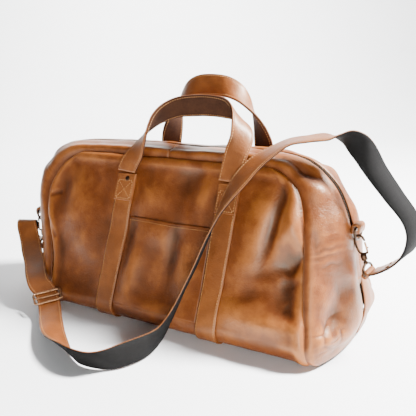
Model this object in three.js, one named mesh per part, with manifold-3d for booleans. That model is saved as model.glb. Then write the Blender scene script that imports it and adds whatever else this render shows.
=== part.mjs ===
// Leather weekender bag: body panels, zip, handles, end anchors, swivel hooks and an adjustable shoulder strap.
// Millimetres. +X to the bag's right end, +Y to its rear, +Z up. Z = 0 is the surface that the bag stands on,
// and X = Y = 0 is the middle of the bag.
import * as THREE from 'three';
import { mergeVertices } from 'three/addons/utils/BufferGeometryUtils.js';
import Module from 'manifold-3d';

const wasm = await Module();
wasm.setup();

// ---------------------------------------------------------------- driving dimensions
const gap = 0.35;                    // clearance between pieces that touch
const leather = 3.0;                 // panel and gusset thickness
const strapWidth = 38;               // handle, base strap and shoulder strap width
const strapThickness = 3.2;
const baseHalfDepth = 156;           // half depth that the leaning panels would reach at Z = 0
const lean = 0.395;                  // inward lean of the front and rear panels, per unit of height
const panelTop = 278;                // height of the groove seam between panel and gusset
const baseRadius = 24;               // radius where a panel turns under the base
const baseBottom = strapThickness + 0.3; // height of the base leather, just over the under-base straps
const handleSpacing = 205;           // between the two straps of one handle
const handleShift = 10;              // straps sit a little to the right of the box's middle
const middleShift = 10;              // moves the finished bag so that its box is centred on X = 0
const patchBottom = 197;             // sewn handle end: lower edge
const patchTop = 243;                // sewn handle end: upper edge, where the handle hinges
const zipHalfWidth = 6;              // half the slot between the gusset halves

// ---------------------------------------------------------------- materials
function paint(color, roughness, metalness = 0) {
  return new THREE.MeshStandardMaterial({ color, roughness, metalness });
}
const tan = () => paint(0xa5623a, 0.55);
const darkTan = () => paint(0x7c4426, 0.6);
const webbing = () => paint(0x1c1a19, 0.9);
const cloth = () => paint(0x3a2a20, 0.9);
const board = () => paint(0x8d8478, 0.8);
const darkBrass = () => paint(0x3b2c20, 0.4, 0.9);
const copper = () => paint(0x8a6344, 0.35, 0.9);
const zipMetal = () => paint(0x5a4632, 0.45, 0.8);

const bag = new THREE.Group();
bag.position.x = middleShift;

function addMesh(name, geometry, material) {
  const mesh = new THREE.Mesh(geometry, material);
  mesh.name = name;
  bag.add(mesh);
  return mesh;
}

// ---------------------------------------------------------------- closed bodies
function signedVolume(points, triangles) {
  let sum = 0;
  for (const [a, b, c] of triangles) {
    sum += points[a].dot(new THREE.Vector3().crossVectors(points[b], points[c]));
  }
  return sum / 6;
}

function toGeometry(points, triangles) {
  const flip = signedVolume(points, triangles) < 0;
  const geometry = new THREE.BufferGeometry();
  geometry.setAttribute('position', new THREE.Float32BufferAttribute(points.flatMap((p) => [p.x, p.y, p.z]), 3));
  geometry.setIndex(triangles.flatMap(([a, b, c]) => (flip ? [a, c, b] : [a, b, c])));
  return geometry;
}

// Joins equal closed sections (even number of points, front half facing back half) into one closed body.
function loft(sections) {
  const n = sections[0].length;
  const points = sections.flat();
  const triangles = [];
  for (let i = 0; i < sections.length - 1; i++) {
    for (let j = 0; j < n; j++) {
      const a = i * n + j;
      const b = i * n + ((j + 1) % n);
      triangles.push([a, b, a + n], [b, b + n, a + n]);
    }
  }
  for (const [start, flip] of [[0, true], [(sections.length - 1) * n, false]]) {
    for (let j = 0; j < n / 2 - 1; j++) {
      const [a, b, c, d] = [start + j, start + j + 1, start + n - 2 - j, start + n - 1 - j];
      triangles.push(flip ? [a, c, b] : [a, b, c], flip ? [a, d, c] : [a, c, d]);
    }
  }
  return toGeometry(points, triangles);
}

// A sheet of leather: the outer face is surface(u, v), and the body goes in from it by the thickness.
function sheet(surface, uSteps, vSteps, thickness, offset = 0) {
  const e = 1e-3;
  const normal = (u, v) => {
    const u0 = Math.min(u, 1 - e);
    const v0 = Math.min(v, 1 - e);
    const p = surface(u0, v0);
    const du = surface(u0 + e, v0).sub(p);
    const dv = surface(u0, v0 + e).sub(p);
    return du.cross(dv).normalize();
  };
  const sections = [];
  for (let j = 0; j <= vSteps; j++) {
    const outer = [];
    const inner = [];
    for (let i = 0; i <= uSteps; i++) {
      const [u, v] = [i / uSteps, j / vSteps];
      const n = normal(u, v);
      outer.push(surface(u, v).addScaledVector(n, -offset));
      inner.push(surface(u, v).addScaledVector(n, -offset - thickness));
    }
    sections.push([...outer, ...inner.reverse()]);
  }
  return loft(sections);
}

// A flat strap along a list of centre points, with the direction of its width given at each one.
function strap(centres, widths, steps, width, thickness, closedEnds = [0, 1]) {
  const path = new THREE.CatmullRomCurve3(centres, false, 'centripetal');
  const across = new THREE.CatmullRomCurve3(widths, false, 'centripetal');
  const sections = [];
  for (let i = 0; i <= steps; i++) {
    const t = THREE.MathUtils.lerp(closedEnds[0], closedEnds[1], i / steps);
    const along = path.getTangent(t);
    const w = across.getPoint(t);
    w.addScaledVector(along, -w.dot(along)).normalize().multiplyScalar(width / 2);
    const h = new THREE.Vector3().crossVectors(along, w).normalize().multiplyScalar(thickness / 2);
    const c = path.getPoint(t);
    const corner = (a, b) => c.clone().addScaledVector(w, a).addScaledVector(h, b);
    sections.push([corner(-1, 1), corner(1, 1), corner(1, -1), corner(-1, -1)]);
  }
  return loft(sections);
}

// A round wire along a closed or open curve.
function wire(curve, radius, steps, sides = 8, closed = false) {
  const sections = [];
  const frames = curve.computeFrenetFrames(steps, closed);
  for (let i = 0; i < steps + (closed ? 0 : 1); i++) {
    const c = curve.getPointAt(i / steps);
    const ring = [];
    for (let j = 0; j < sides; j++) {
      const a = (j / sides) * 2 * Math.PI;
      ring.push(c.clone()
        .addScaledVector(frames.normals[i], radius * Math.cos(a))
        .addScaledVector(frames.binormals[i], radius * Math.sin(a)));
    }
    sections.push(ring);
  }
  if (!closed) return loft(sections);
  const points = sections.flat();
  const triangles = [];
  for (let i = 0; i < steps; i++) {
    for (let j = 0; j < sides; j++) {
      const a = i * sides + j;
      const b = i * sides + ((j + 1) % sides);
      const c = ((i + 1) % steps) * sides + j;
      const d = ((i + 1) % steps) * sides + ((j + 1) % sides);
      triangles.push([a, b, c], [b, d, c]);
    }
  }
  return toGeometry(points, triangles);
}

function toSolid(geometry) {
  const bare = geometry.clone();
  bare.deleteAttribute('normal');
  bare.deleteAttribute('uv');
  const merged = mergeVertices(bare.index ? bare : bare, 1e-4);
  return new wasm.Manifold(new wasm.Mesh({
    numProp: 3,
    vertProperties: new Float32Array(merged.attributes.position.array),
    triVerts: new Uint32Array(merged.index.array),
  }));
}

function toBuffer(solid) {
  const mesh = solid.getMesh();
  const geometry = new THREE.BufferGeometry();
  geometry.setAttribute('position', new THREE.BufferAttribute(new Float32Array(mesh.vertProperties), 3));
  geometry.setIndex(new THREE.BufferAttribute(new Uint32Array(mesh.triVerts), 1));
  return geometry;
}

const vec = (x, y, z) => new THREE.Vector3(x, y, z);

// ---------------------------------------------------------------- body shape
// Outline of the front and rear panels (the groove seam), and the crown of the gusset over it (the zip line),
// both from the left base corner over the top to the right base corner. The left end is the fuller one.
const shoulderCentre = { x: -245, z: 195 };  // centre of the left shoulder's arc, which the zip slider follows
const shoulderRadius = 92;
function shoulderPoint(degrees, radius = shoulderRadius) {
  const a = THREE.MathUtils.degToRad(degrees);
  return [shoulderCentre.x + radius * Math.cos(a), shoulderCentre.z + radius * Math.sin(a)];
}
const seamOutline = [
  [-228, 6], [-232, 50], [-243, 100], [-264, 145], [-278, 180], [-279, 204], [-272, 228], [-255, 252],
  [-222, 271], [-160, 278], [-60, 278], [60, 278], [150, 278], [200, 265], [230, 236], [248, 180], [262, 105],
  [274, 50], [284, 6],
];
const crownOutline = [
  [-278, 6], [-302, 50], [-322, 100], [-334, 150], shoulderPoint(180), shoulderPoint(160), shoulderPoint(140),
  shoulderPoint(115), shoulderPoint(90), [-165, 290.5], [-60, 291], [60, 290], [150, 289], [218, 279],
  [265, 242], [289, 182], [304, 105], [314, 50], [305, 6],
];
function outlineCurve(points) {
  return new THREE.CatmullRomCurve3(points.map(([x, z]) => vec(x, 0, z)), false, 'catmullrom', 0.5);
}
const seamCurve = outlineCurve(seamOutline);
const crownCurve = outlineCurve(crownOutline);

// Half depth of the bag at a height: the leaning panel, and the round turn under the base.
const turnAngle = Math.atan(lean);
const turnCentreZ = baseBottom + baseRadius;
const turnTopZ = turnCentreZ + baseRadius * Math.sin(turnAngle);
const turnCentreY = baseHalfDepth - lean * turnTopZ - baseRadius * Math.cos(turnAngle);
function halfDepth(z) {
  if (z >= turnTopZ) return baseHalfDepth - lean * z;
  const dz = THREE.MathUtils.clamp(turnCentreZ - z, -baseRadius, baseRadius);
  return turnCentreY + Math.sqrt(baseRadius ** 2 - dz ** 2);
}

// X of the groove seam at a height, on the left (side -1) or the right (side 1) half of the outline.
function seamX(z, side) {
  let [low, high] = side < 0 ? [0, 0.5] : [1, 0.5];
  const target = THREE.MathUtils.clamp(z, seamOutline[0][1], panelTop - 0.2);
  for (let i = 0; i < 40; i++) {
    const middle = (low + high) / 2;
    if (seamCurve.getPoint(middle).z < target) low = middle;
    else high = middle;
  }
  return seamCurve.getPoint((low + high) / 2).x;
}

// Front or rear panel (side -1 front, 1 rear): v runs from the groove seam down, round the turn and under.
const underflapInner = 96;
const leanLength = Math.hypot(panelTop - turnTopZ, lean * (panelTop - turnTopZ));
const turnSweep = Math.PI / 2 + turnAngle;
const underLength = turnCentreY - underflapInner;
const panelLength = leanLength + baseRadius * turnSweep + underLength;
function panelProfile(distance) {
  if (distance <= leanLength) {
    const z = panelTop - (panelTop - turnTopZ) * (distance / leanLength);
    return { y: baseHalfDepth - lean * z, z };
  }
  const turned = (distance - leanLength) / baseRadius;
  if (turned <= turnSweep) {
    const a = turnAngle - turned;
    return { y: turnCentreY + baseRadius * Math.cos(a), z: turnCentreZ + baseRadius * Math.sin(a) };
  }
  return { y: turnCentreY - (distance - leanLength - baseRadius * turnSweep), z: baseBottom };
}
const panelRows = [0, 0.02, 0.045, 0.08, 0.13, 0.2, 0.3, 0.42, 0.54, 0.66, 0.74, 0.788, 0.815, 0.84, 0.865, 0.89,
  0.915, 0.935, 0.965, 1];
function panelSheet(side, offset = 0, thickness = leather, inset = 0) {
  const surface = (u, v) => {
    const row = v * (panelRows.length - 1);
    const i = Math.min(Math.floor(row), panelRows.length - 2);
    const share = THREE.MathUtils.lerp(panelRows[i], panelRows[i + 1], row - i);
    const { y, z } = panelProfile(inset + share * (panelLength - 2 * inset));
    const [left, right] = [seamX(z, -1) + inset, seamX(z, 1) - inset];
    const x = side < 0 ? THREE.MathUtils.lerp(left, right, u) : THREE.MathUtils.lerp(right, left, u);
    return vec(x, side * y, z);
  };
  return sheet((u, v) => surface(u, 1 - v), 4, panelRows.length - 1, thickness, offset);
}
addMesh('front_panel', panelSheet(-1), tan());
addMesh('rear_panel', panelSheet(1), tan());

// Base: fills the space between the two under-flaps, out to the curved foot of the end gussets.
const crownFullness = 2.6;
function bulge(s) {
  return 1 - Math.abs(s) ** crownFullness;
}
const baseInner = underflapInner - gap - 0.4;
const baseSurface = (u, v) => {
  const y = THREE.MathUtils.lerp(-baseInner, baseInner, v);
  const f = bulge(y / halfDepth(seamOutline[0][1]));
  const left = THREE.MathUtils.lerp(seamOutline[0][0], crownOutline[0][0], f) + 5;
  const end = seamOutline.length - 1;
  const right = THREE.MathUtils.lerp(seamOutline[end][0], crownOutline[end][0], f) - 5;
  return vec(THREE.MathUtils.lerp(right, left, u), y, baseBottom);
};
addMesh('base_panel', sheet(baseSurface, 12, 10, leather), darkTan());

// Gusset: t runs along the outline, s runs from the front seam (-1) over the zip line (0) to the rear seam (1).
function gussetPoint(t, s) {
  const seam = seamCurve.getPoint(t);
  const crown = crownCurve.getPoint(t);
  const p = seam.lerp(crown, bulge(s));
  const depth = halfDepth(seamCurve.getPoint(t).z);
  return vec(p.x, s * depth, p.z);
}
const seamClearance = 4.5;           // keeps the gusset's edge clear of the panel's thickness
function gussetStrip(side, t0, t1, steps, inner, outerCut, rows, thickness = leather, offset = 0) {
  const surface = (u, v) => {
    const t = THREE.MathUtils.lerp(t0, t1, u);
    const depth = halfDepth(seamCurve.getPoint(t).z);
    const y = THREE.MathUtils.lerp(inner, depth - outerCut, v);
    return gussetPoint(t, (side * y) / depth);
  };
  const turned = side > 0 ? (u, v) => surface(1 - u, v) : surface;
  return sheet((u, v) => turned(u, 1 - v), steps, rows, thickness, offset);
}
const topMiddle = 0.575;             // place of the cross seam that joins the two lengths of gusset
for (const [name, side] of [['front', -1], ['rear', 1]]) {
  addMesh(`left_gusset_${name}`, gussetStrip(side, 0.006, topMiddle - 0.0006, 26, zipHalfWidth, seamClearance, 6), tan());
  addMesh(`right_gusset_${name}`, gussetStrip(side, topMiddle + 0.0006, 0.994, 20, zipHalfWidth, seamClearance, 6), tan());
}


// ---------------------------------------------------------------- zip
const tapeThickness = 1.2;
for (const [name, side] of [['front', -1], ['rear', 1]]) {
  const surface = (u, v) => gussetPoint(
    THREE.MathUtils.lerp(0.004, 0.996, side > 0 ? 1 - u : u),
    (side * THREE.MathUtils.lerp(zipHalfWidth - gap - 0.1, gap, v))
      / halfDepth(seamCurve.getPoint(THREE.MathUtils.lerp(0.004, 0.996, side > 0 ? 1 - u : u)).z),
  );
  addMesh(`zip_tape_${name}`, sheet((u, v) => surface(u, v), 56, 1, tapeThickness, 0.5), cloth());
}
const chainThickness = 2;
const chainSurface = (u, v) => {
  const t = THREE.MathUtils.lerp(0.175, 0.825, u);
  return gussetPoint(t, THREE.MathUtils.lerp(-2.6, 2.6, v) / halfDepth(seamCurve.getPoint(t).z));
};
addMesh('zip_chain', sheet(chainSurface, 44, 1, chainThickness, -chainThickness + 0.1), zipMetal());

// The slider rides over the chain on the left shoulder's arc. It is parked at the arc's left end.
const sliderHeight = 7;
const sliderLift = 0.7 - 0.1;
function shoulderFrame(degrees, radius) {
  const [x, z] = shoulderPoint(degrees, radius);
  return new THREE.Matrix4().makeRotationY(THREE.MathUtils.degToRad(90 - degrees)).setPosition(x, 0, z);
}
function placed(geometry, matrix) {
  const moved = geometry.clone();
  moved.applyMatrix4(matrix);
  return moved;
}
const sliderPlate = new THREE.BoxGeometry(14, 9, 1.6);
const sliderCrown = new THREE.BoxGeometry(7, 2, sliderHeight - 3.4);
const crownWindow = new THREE.BoxGeometry(4, 6, 1.8);
const plateZ = chainThickness + sliderLift + 0.8;
let slider = toSolid(placed(sliderPlate, new THREE.Matrix4().makeTranslation(0, 0, plateZ)));
slider = slider.add(toSolid(placed(sliderCrown, new THREE.Matrix4().makeTranslation(0, 0, plateZ + 2.5))));
slider = slider.subtract(toSolid(placed(crownWindow, new THREE.Matrix4().makeTranslation(0, 0, plateZ + 1.8))));
const sliderAngle = 178;
const sliderPlace = shoulderFrame(sliderAngle, shoulderRadius);
addMesh('zip_slider', placed(toBuffer(slider), sliderPlace), copper());
const pullZ = plateZ + 1.8;
let pull = toSolid(placed(new THREE.BoxGeometry(22.7, 6.4, 1.2), new THREE.Matrix4().makeTranslation(-10.65, 0, pullZ)));
pull = pull.subtract(toSolid(placed(
  new THREE.BoxGeometry(4.8, 3, 3), new THREE.Matrix4().makeTranslation(-3.1, 0, pullZ),
)));
addMesh('zip_pull', placed(toBuffer(pull), sliderPlace), copper());

// ---------------------------------------------------------------- straps sewn to the body
const strapX = [-1, 1].map((side) => handleShift + (side * handleSpacing) / 2);
function profilePoint(side, distance, outward) {
  const here = panelProfile(distance);
  const next = panelProfile(distance + 0.01);
  const along = vec(0, side * (next.y - here.y), next.z - here.z).normalize();
  const out = vec(0, side * -along.z, side * along.y);
  return vec(0, side * here.y, here.z).addScaledVector(out, outward);
}
function profileDistance(z) {
  return ((panelTop - z) / (panelTop - turnTopZ)) * leanLength;
}
const onPanel = 0.3 + strapThickness / 2;
// The strap leaves the floor by this much just before its turn, so the bag stands on four clear corners.
const footLift = 0.2;
for (const [name, x] of [['left', strapX[0]], ['right', strapX[1]]]) {
  const start = profileDistance(patchTop - 2);
  const rows = [start, ...panelRows.map((row) => row * panelLength).filter((d) => d > start + 8)];
  const half = rows.map((d) => profilePoint(-1, d, onPanel));
  const other = rows.map((d) => profilePoint(1, d, onPanel));
  const across = vec(strapWidth / 2, 0, 0);
  const sections = [...half, ...other.reverse()].map((c, i, all) => {
    const along = all[Math.min(i + 1, all.length - 1)].clone().sub(all[Math.max(i - 1, 0)]).normalize();
    const out = vec(0, along.z, -along.y).multiplyScalar(strapThickness / 2);
    const corner = (a, b) => c.clone().add(vec(x, 0, 0)).addScaledVector(across, a).addScaledVector(out, b);
    const lifted = c.z < strapThickness && Math.abs(c.y) > turnCentreY - 4 ? footLift : 0;
    const under = (a) => corner(a, 1).add(vec(0, 0, lifted));
    return [under(-1), under(1), corner(1, -1), corner(-1, -1)];
  });
  addMesh(`base_strap_${name}`, loft(sections), tan());
}

// Sewn ends of the handles, on the base straps, each with a rivet.
const patchThickness = 2.6;
const rivetRadius = 4.5;
function panelFrame(side, x, z, outward) {
  const up = vec(0, -side * lean, 1).normalize();
  const out = vec(0, side, lean).normalize();
  const right = new THREE.Vector3().crossVectors(up, out);
  const at = vec(x, side * (baseHalfDepth - lean * z), z).addScaledVector(out, outward);
  return new THREE.Matrix4().makeBasis(right, up, out).setPosition(at);
}
for (const [depthName, side] of [['front', -1], ['rear', 1]]) {
  for (const [name, x] of [['left', strapX[0]], ['right', strapX[1]]]) {
    const height = (patchTop - patchBottom) * Math.hypot(1, lean) - 1;
    const middle = (patchTop + patchBottom) / 2;
    const out = 0.3 + strapThickness + 0.3 + patchThickness / 2;
    const patch = new THREE.BoxGeometry(strapWidth, height, patchThickness);
    addMesh(`handle_end_${depthName}_${name}`, placed(patch, panelFrame(side, x, middle, out)), tan());
    const rivet = new THREE.CylinderGeometry(rivetRadius * 0.7, rivetRadius, 1.6, 14);
    rivet.rotateX(Math.PI / 2);
    const top = out + patchThickness / 2 + 0.2 + 0.8;
    const place = panelFrame(side, x + 3, patchTop - 9, top);
    addMesh(`handle_rivet_${depthName}_${name}`, placed(rivet, place), darkBrass());
  }
}

// Slip pocket on the front, between the two base straps.
const pocketTop = 175;
const pocketBottom = 34;
const pocketThickness = 1.8;
const pocketHalf = (handleSpacing - strapWidth) / 2 - 0.6;
const pocketSurface = (u, v) => {
  const z = THREE.MathUtils.lerp(pocketBottom, pocketTop, v);
  return vec(handleShift + THREE.MathUtils.lerp(-pocketHalf, pocketHalf, u), -(baseHalfDepth - lean * z), z);
};
addMesh('front_pocket', sheet(pocketSurface, 6, 8, pocketThickness, -pocketThickness - gap), tan());

// ---------------------------------------------------------------- handles
// Centre points of the front handle from its left end to its right end, and the turn of the strap about its
// own length at each one: flat on the panel at the ends, rolled over along the top.
const handleThickness = 4.5;
const frontHandle = [
  [-92.5, -66.5, 248, 0], [-91.8, -65.3, 254, 0], [-87, -62, 265, 2], [-79, -59, 277, 10], [-71, -52, 297, 34], [-62, -40, 321, 62],
  [-53, -29, 337, 88], [-39, -18, 349, 115], [-19, -9, 357, 138], [6, -5, 360, 150], [38, -4, 361, 150],
  [70, -6, 358, 142], [92, -13, 352, 118], [108, -24, 342, 90], [118, -35, 329, 62], [122, -44, 313, 35],
  [119, -54, 293, 12], [115, -61, 270, 2], [112.8, -65.3, 254, 0], [112.5, -66.5, 248, 0],
];
const rearHandle = [
  [-92.5, 66.5, 248, 0], [-92, 65.3, 254, 0], [-88.5, 61.5, 265, 2], [-82, 56, 280, 12], [-75, 50, 300, 34], [-66, 44, 325, 62],
  [-57, 39, 349, 88], [-42, 36, 372, 115], [-22, 35, 387, 138], [-2, 35, 393, 150], [20, 35, 394, 150],
  [44, 35, 392, 142], [65, 36, 385, 118], [83, 38, 371, 90], [97, 43, 350, 62], [107, 49, 325, 35],
  [112, 55, 298, 12], [113, 61, 272, 2], [112.7, 65.3, 254, 0], [112.5, 66.5, 248, 0],
];
function handleGeometry(list, side) {
  const centres = list.map(([x, y, z]) => vec(x, y, z));
  const out = vec(0, side, 0.25).normalize();
  const widths = list.map(([, , , turn], i) => {
    const along = centres[Math.min(i + 1, list.length - 1)].clone().sub(centres[Math.max(i - 1, 0)]).normalize();
    const face = out.clone().addScaledVector(along, -out.dot(along)).normalize();
    const across = new THREE.Vector3().crossVectors(along, face);
    const a = THREE.MathUtils.degToRad(turn) * (side < 0 ? 1 : -1);
    return across.multiplyScalar(Math.cos(a)).addScaledVector(face, Math.sin(a));
  });
  return strap(centres, widths, 40, strapWidth, handleThickness);
}
addMesh('front_handle', handleGeometry(frontHandle, -1), tan());
addMesh('rear_handle', handleGeometry(rearHandle, 1), tan());

// ---------------------------------------------------------------- end anchors and swivel hooks
const ringWire = 2;
const loopRadius = 6.2;
const loopBore = 2.75;
const loopLength = 26;
function cylinder(radius, length, matrix, sides = 16) {
  return toSolid(placed(new THREE.CylinderGeometry(radius, radius, length, sides), matrix));
}
function ovalCurve(points, closed = true) {
  return new THREE.CatmullRomCurve3(points.map(([a, b, c]) => vec(a, b, c)), closed, 'centripetal');
}
const strapEnds = {};
function addAnchor(name, t, y, tabFrom, tabTo, tilt, standOff, face) {
  const depth = halfDepth(seamCurve.getPoint(t).z);
  const at = gussetPoint(t, y / depth);
  const tangent = gussetPoint(t, (y + 1) / depth).sub(gussetPoint(t, (y - 1) / depth)).setZ(0).normalize();
  const out = vec(face * tangent.y, -face * tangent.x, 0);
  const origin = at.clone().addScaledVector(out, 0.35 + 2.4 + 0.35 + loopRadius + standOff);
  const up = vec(0, 0, 1);
  const frame = new THREE.Matrix4().makeBasis(new THREE.Vector3().crossVectors(out, up), out, up).setPosition(origin);

  // Tab: sewn on the gusset below the loop.
  const tabSurface = (u, v) => {
    const tt = THREE.MathUtils.lerp(tabFrom, tabTo, v);
    const yy = y + face * THREE.MathUtils.lerp(-15, 15, u);
    return gussetPoint(tt, yy / halfDepth(seamCurve.getPoint(tt).z));
  };
  addMesh(`${name}_anchor_tab`, sheet(tabSurface, 4, 8, 2.4, -2.75), tan());

  // Loop: the folded leather that holds the straight side of the D-ring.
  const alongBar = new THREE.Matrix4().makeRotationZ(Math.PI / 2);
  const loop = cylinder(loopRadius, loopLength, alongBar, 20).subtract(cylinder(loopBore, loopLength + 2, alongBar, 20));
  addMesh(`${name}_anchor_loop`, placed(toBuffer(loop), frame), tan());

  const dPoints = [[-16, 0, 0], [-8, 0, 0], [0, 0, 0], [8, 0, 0], [16, 0, 0], [18.6, 0, -3], [17.4, 0, -10],
    [10, 0, -17.4], [0, 0, -20], [-10, 0, -17.4], [-17.4, 0, -10], [-18.6, 0, -3]];
  addMesh(`${name}_d_ring`, placed(wire(ovalCurve(dPoints), ringWire, 32, 6, true), frame), darkBrass());

  // Hook, gate, swivel post and strap eye, tilted about the bottom of the D-ring.
  const swing = new THREE.Matrix4().makeTranslation(0, 0, -18)
    .multiply(new THREE.Matrix4().makeRotationX(THREE.MathUtils.degToRad(tilt)))
    .multiply(new THREE.Matrix4().makeTranslation(0, 0, 18));
  const place = frame.clone().multiply(swing);
  const claw = ovalCurve([[0, 0, -44], [0, -3.9, -41], [0, -5.9, -35], [0, -6.2, -23], [0, -4.3, -17], [0, 1.2, -14.5],
    [0, 6, -17], [0, 7.9, -22], [0, 8, -25]], false);
  const barrelPlace = new THREE.Matrix4().makeTranslation(0, 0, -48.5).multiply(
    new THREE.Matrix4().makeRotationX(Math.PI / 2));
  let hook = toSolid(wire(claw, 2, 22, 8));
  hook = hook.add(cylinder(5, 11, barrelPlace));
  const footPlace = new THREE.Matrix4().makeTranslation(0, 5.6, -43.6);
  hook = hook.add(toSolid(placed(new THREE.BoxGeometry(3.6, 6.4, 2.6), footPlace)));
  const borePlace = new THREE.Matrix4().makeTranslation(0, 0, -50.5).multiply(
    new THREE.Matrix4().makeRotationX(Math.PI / 2));
  hook = hook.subtract(cylinder(2.5, 8, borePlace));
  addMesh(`${name}_hook`, placed(toBuffer(hook), place), darkBrass());
  const gatePlace = new THREE.Matrix4().makeTranslation(0, 8, -34.2).multiply(
    new THREE.Matrix4().makeRotationX(Math.PI / 2));
  addMesh(`${name}_gate`, placed(toBuffer(cylinder(1.7, 14.6, gatePlace, 10)), place), darkBrass());
  const gatePivot = vec(0, 8, -41).applyMatrix4(place);

  const eyePoints = [[-19, 0, -74], [-9, 0, -74], [9, 0, -74], [19, 0, -74], [21.5, 0, -71], [19, 0, -65.5],
    [9, 0, -60.8], [0, 0, -59.5], [-9, 0, -60.8], [-19, 0, -65.5], [-21.5, 0, -71]];
  const postPlace = new THREE.Matrix4().makeTranslation(0, 0, -57.3).multiply(
    new THREE.Matrix4().makeRotationX(Math.PI / 2));
  const pinPlace = new THREE.Matrix4().makeTranslation(0, 0, -52).multiply(
    new THREE.Matrix4().makeRotationX(Math.PI / 2));
  let eye = toSolid(wire(ovalCurve(eyePoints), 2, 34, 6, true));
  eye = eye.add(cylinder(3.4, 5.4, postPlace)).add(cylinder(2, 8, pinPlace));
  addMesh(`${name}_strap_eye`, placed(toBuffer(eye), place), darkBrass());

  const fold = cylinder(5.8, 36, new THREE.Matrix4().makeTranslation(0, 0, -74).multiply(alongBar), 20)
    .subtract(cylinder(2.6, 40, new THREE.Matrix4().makeTranslation(0, 0, -74).multiply(alongBar), 20));
  addMesh(`${name}_strap_fold`, placed(toBuffer(fold), place), tan());
  strapEnds[name] = vec(0, 0, -74).applyMatrix4(place);
  return { origin, tangent, out, gatePivot, barrel: vec(0, 0, -48).applyMatrix4(place) };
}
const leftAnchor = addAnchor('left', 0.164, -42, 0.098, 0.15, 0, 1.2, -1);
const rightAnchor = addAnchor('right', 0.83, -5, 0.9, 0.845, 20, 6.2, 1);

// ---------------------------------------------------------------- shoulder strap
// Route of the strap's centre line from the right hook, over the right shoulder, down the front, around on the
// floor, up over a crest to the left hook, and the direction of its width at each point.
const route = [
  [336, -7, 121, 0, -1, 0], [353, -10, 132, 0, -1, 0], [368, -11, 145, 0, -1, 0.05],
  [380, -10, 162, -0.15, -0.97, 0.15], [384, -6, 183, -0.3, -0.93, 0.1], [377, 0, 205, -0.42, -0.9, -0.07],
  [350, 6, 236, -0.45, -0.86, -0.26], [322, 8, 270, -0.52, -0.75, -0.4], [300, 6, 302, -0.7, -0.35, -0.6],
  [284, 1, 316, -0.6, 0.35, -0.7], [268, -5, 320, -0.42, 0.85, -0.3], [250, -13, 320, -0.4, 0.9, 0.15],
  [226, -25, 317, -0.2, 0.95, 0.15], [200, -39, 312, -0.35, 0.9, 0.15], [177, -56, 297, -0.5, 0.8, 0.25],
  [158, -71, 280, -0.65, 0.65, 0.35], [144, -87, 259, -0.7, 0.6, 0.38], [131, -98, 236, -0.65, 0.7, 0.2],
  [120, -106, 214, -0.55, 0.8, 0], [110, -113, 188, -0.48, 0.84, -0.2], [99, -121, 157, -0.44, 0.84, -0.33],
  [87, -130, 123, -0.44, 0.84, -0.33], [75, -144, 88, -0.44, 0.84, -0.33], [66, -164, 54, -0.4, 0.75, -0.5],
  [60, -190, 28, -0.25, 0.45, -0.8], [57, -212, 19, -0.1, 0.2, -0.95], [55, -232, 18, 0, 0.1, -1],
  [47, -256, 18, 0.1, 0.2, -0.95], [34, -279, 17, 0.1, 0.4, -0.9], [14, -293, 17, 0, 0.5, -0.87],
  [-12, -296, 17, 0, 0.5, -0.87], [-40, -288, 17, 0, 0.6, -0.8], [-70, -273, 16, 0.1, 0.8, -0.55],
  [-104, -252, 15, 0.3, 0.9, -0.25], [-140, -223, 16, 0.45, 0.85, 0.05],
  [-174, -192, 18, 0.5, 0.84, 0.15], [-187, -181, 22.5, 0.51, 0.84, 0.17],
  [-197, -174, 27, 0.51, 0.84, 0.17], [-207, -167, 31.5, 0.51, 0.84, 0.17], [-218, -163, 37, 0.51, 0.84, 0.17],
  [-232, -161, 45, 0.52, 0.84, 0.15], [-251, -149, 55, 0.55, 0.82, 0.1], [-278, -126, 67, 0.6, 0.78, 0.1],
  [-304, -108, 81, 0.7, 0.7, 0.05], [-322, -94, 95, 0.78, 0.62, 0], [-333, -87, 107, 0.82, 0.56, 0],
  [-342, -82, 119, 0.86, 0.5, 0], [-347, -77.5, 126, 0.9, 0.42, 0], [-350, -71.6, 128, 0.9, 0.42, 0],
  [-352, -66, 122, 0.93, 0.36, 0], [-352, -63.5, 111, 0.97, 0.2, 0], [-350.4, -59.7, 99, 0.93, -0.34, 0],
  [-347.5, -54.1, 88, 0.67, -0.74, 0],
];
const routeWidths = route.map(([, , , a, b, c]) => vec(a, b, c).normalize());
const routeCentres = route.map(([x, y, z], i) => {
  const reach = (strapWidth / 2) * Math.abs(routeWidths[i].z) + strapThickness / 2;
  return vec(x, y, Math.max(z, reach + 0.6));
});
const towards = (from, to, distance) => from.clone().add(to.clone().sub(from).setLength(distance));
routeCentres.unshift(towards(strapEnds.right, routeCentres[0], 7.8));
routeWidths.unshift(rightAnchor.tangent.clone().negate());
routeCentres.push(towards(strapEnds.left, routeCentres[routeCentres.length - 1], 7.8));
routeWidths.push(leftAnchor.tangent.clone().negate());
addMesh('shoulder_strap', strap(routeCentres, routeWidths, 130, strapWidth, strapThickness), webbing());

// Adjusting buckle on the strap, and the strap's return layer from the buckle up to the crest.
const buckleAt = 38;
const buckleOut = vec(0, -0.2, 0.98);
const buckleAlong = routeCentres[buckleAt + 1].clone().sub(routeCentres[buckleAt - 1]).normalize();
const buckleAcross = routeWidths[buckleAt].clone();
buckleAcross.addScaledVector(buckleAlong, -buckleAcross.dot(buckleAlong)).normalize();
const buckleNormal = new THREE.Vector3().crossVectors(buckleAlong, buckleAcross).normalize();
if (buckleNormal.dot(buckleOut) < 0) buckleNormal.negate();
const buckleFrame = new THREE.Matrix4().makeBasis(
  buckleAlong, new THREE.Vector3().crossVectors(buckleNormal, buckleAlong), buckleNormal,
).setPosition(routeCentres[buckleAt].clone().addScaledVector(buckleNormal, strapThickness / 2 + 1.5 + 1.2));
const framePoints = [[-13, -20], [-13, 0], [-13, 20], [-10, 23], [0, 23], [10, 23], [13, 20], [13, 0], [13, -20],
  [10, -23], [0, -23], [-10, -23]];
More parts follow.
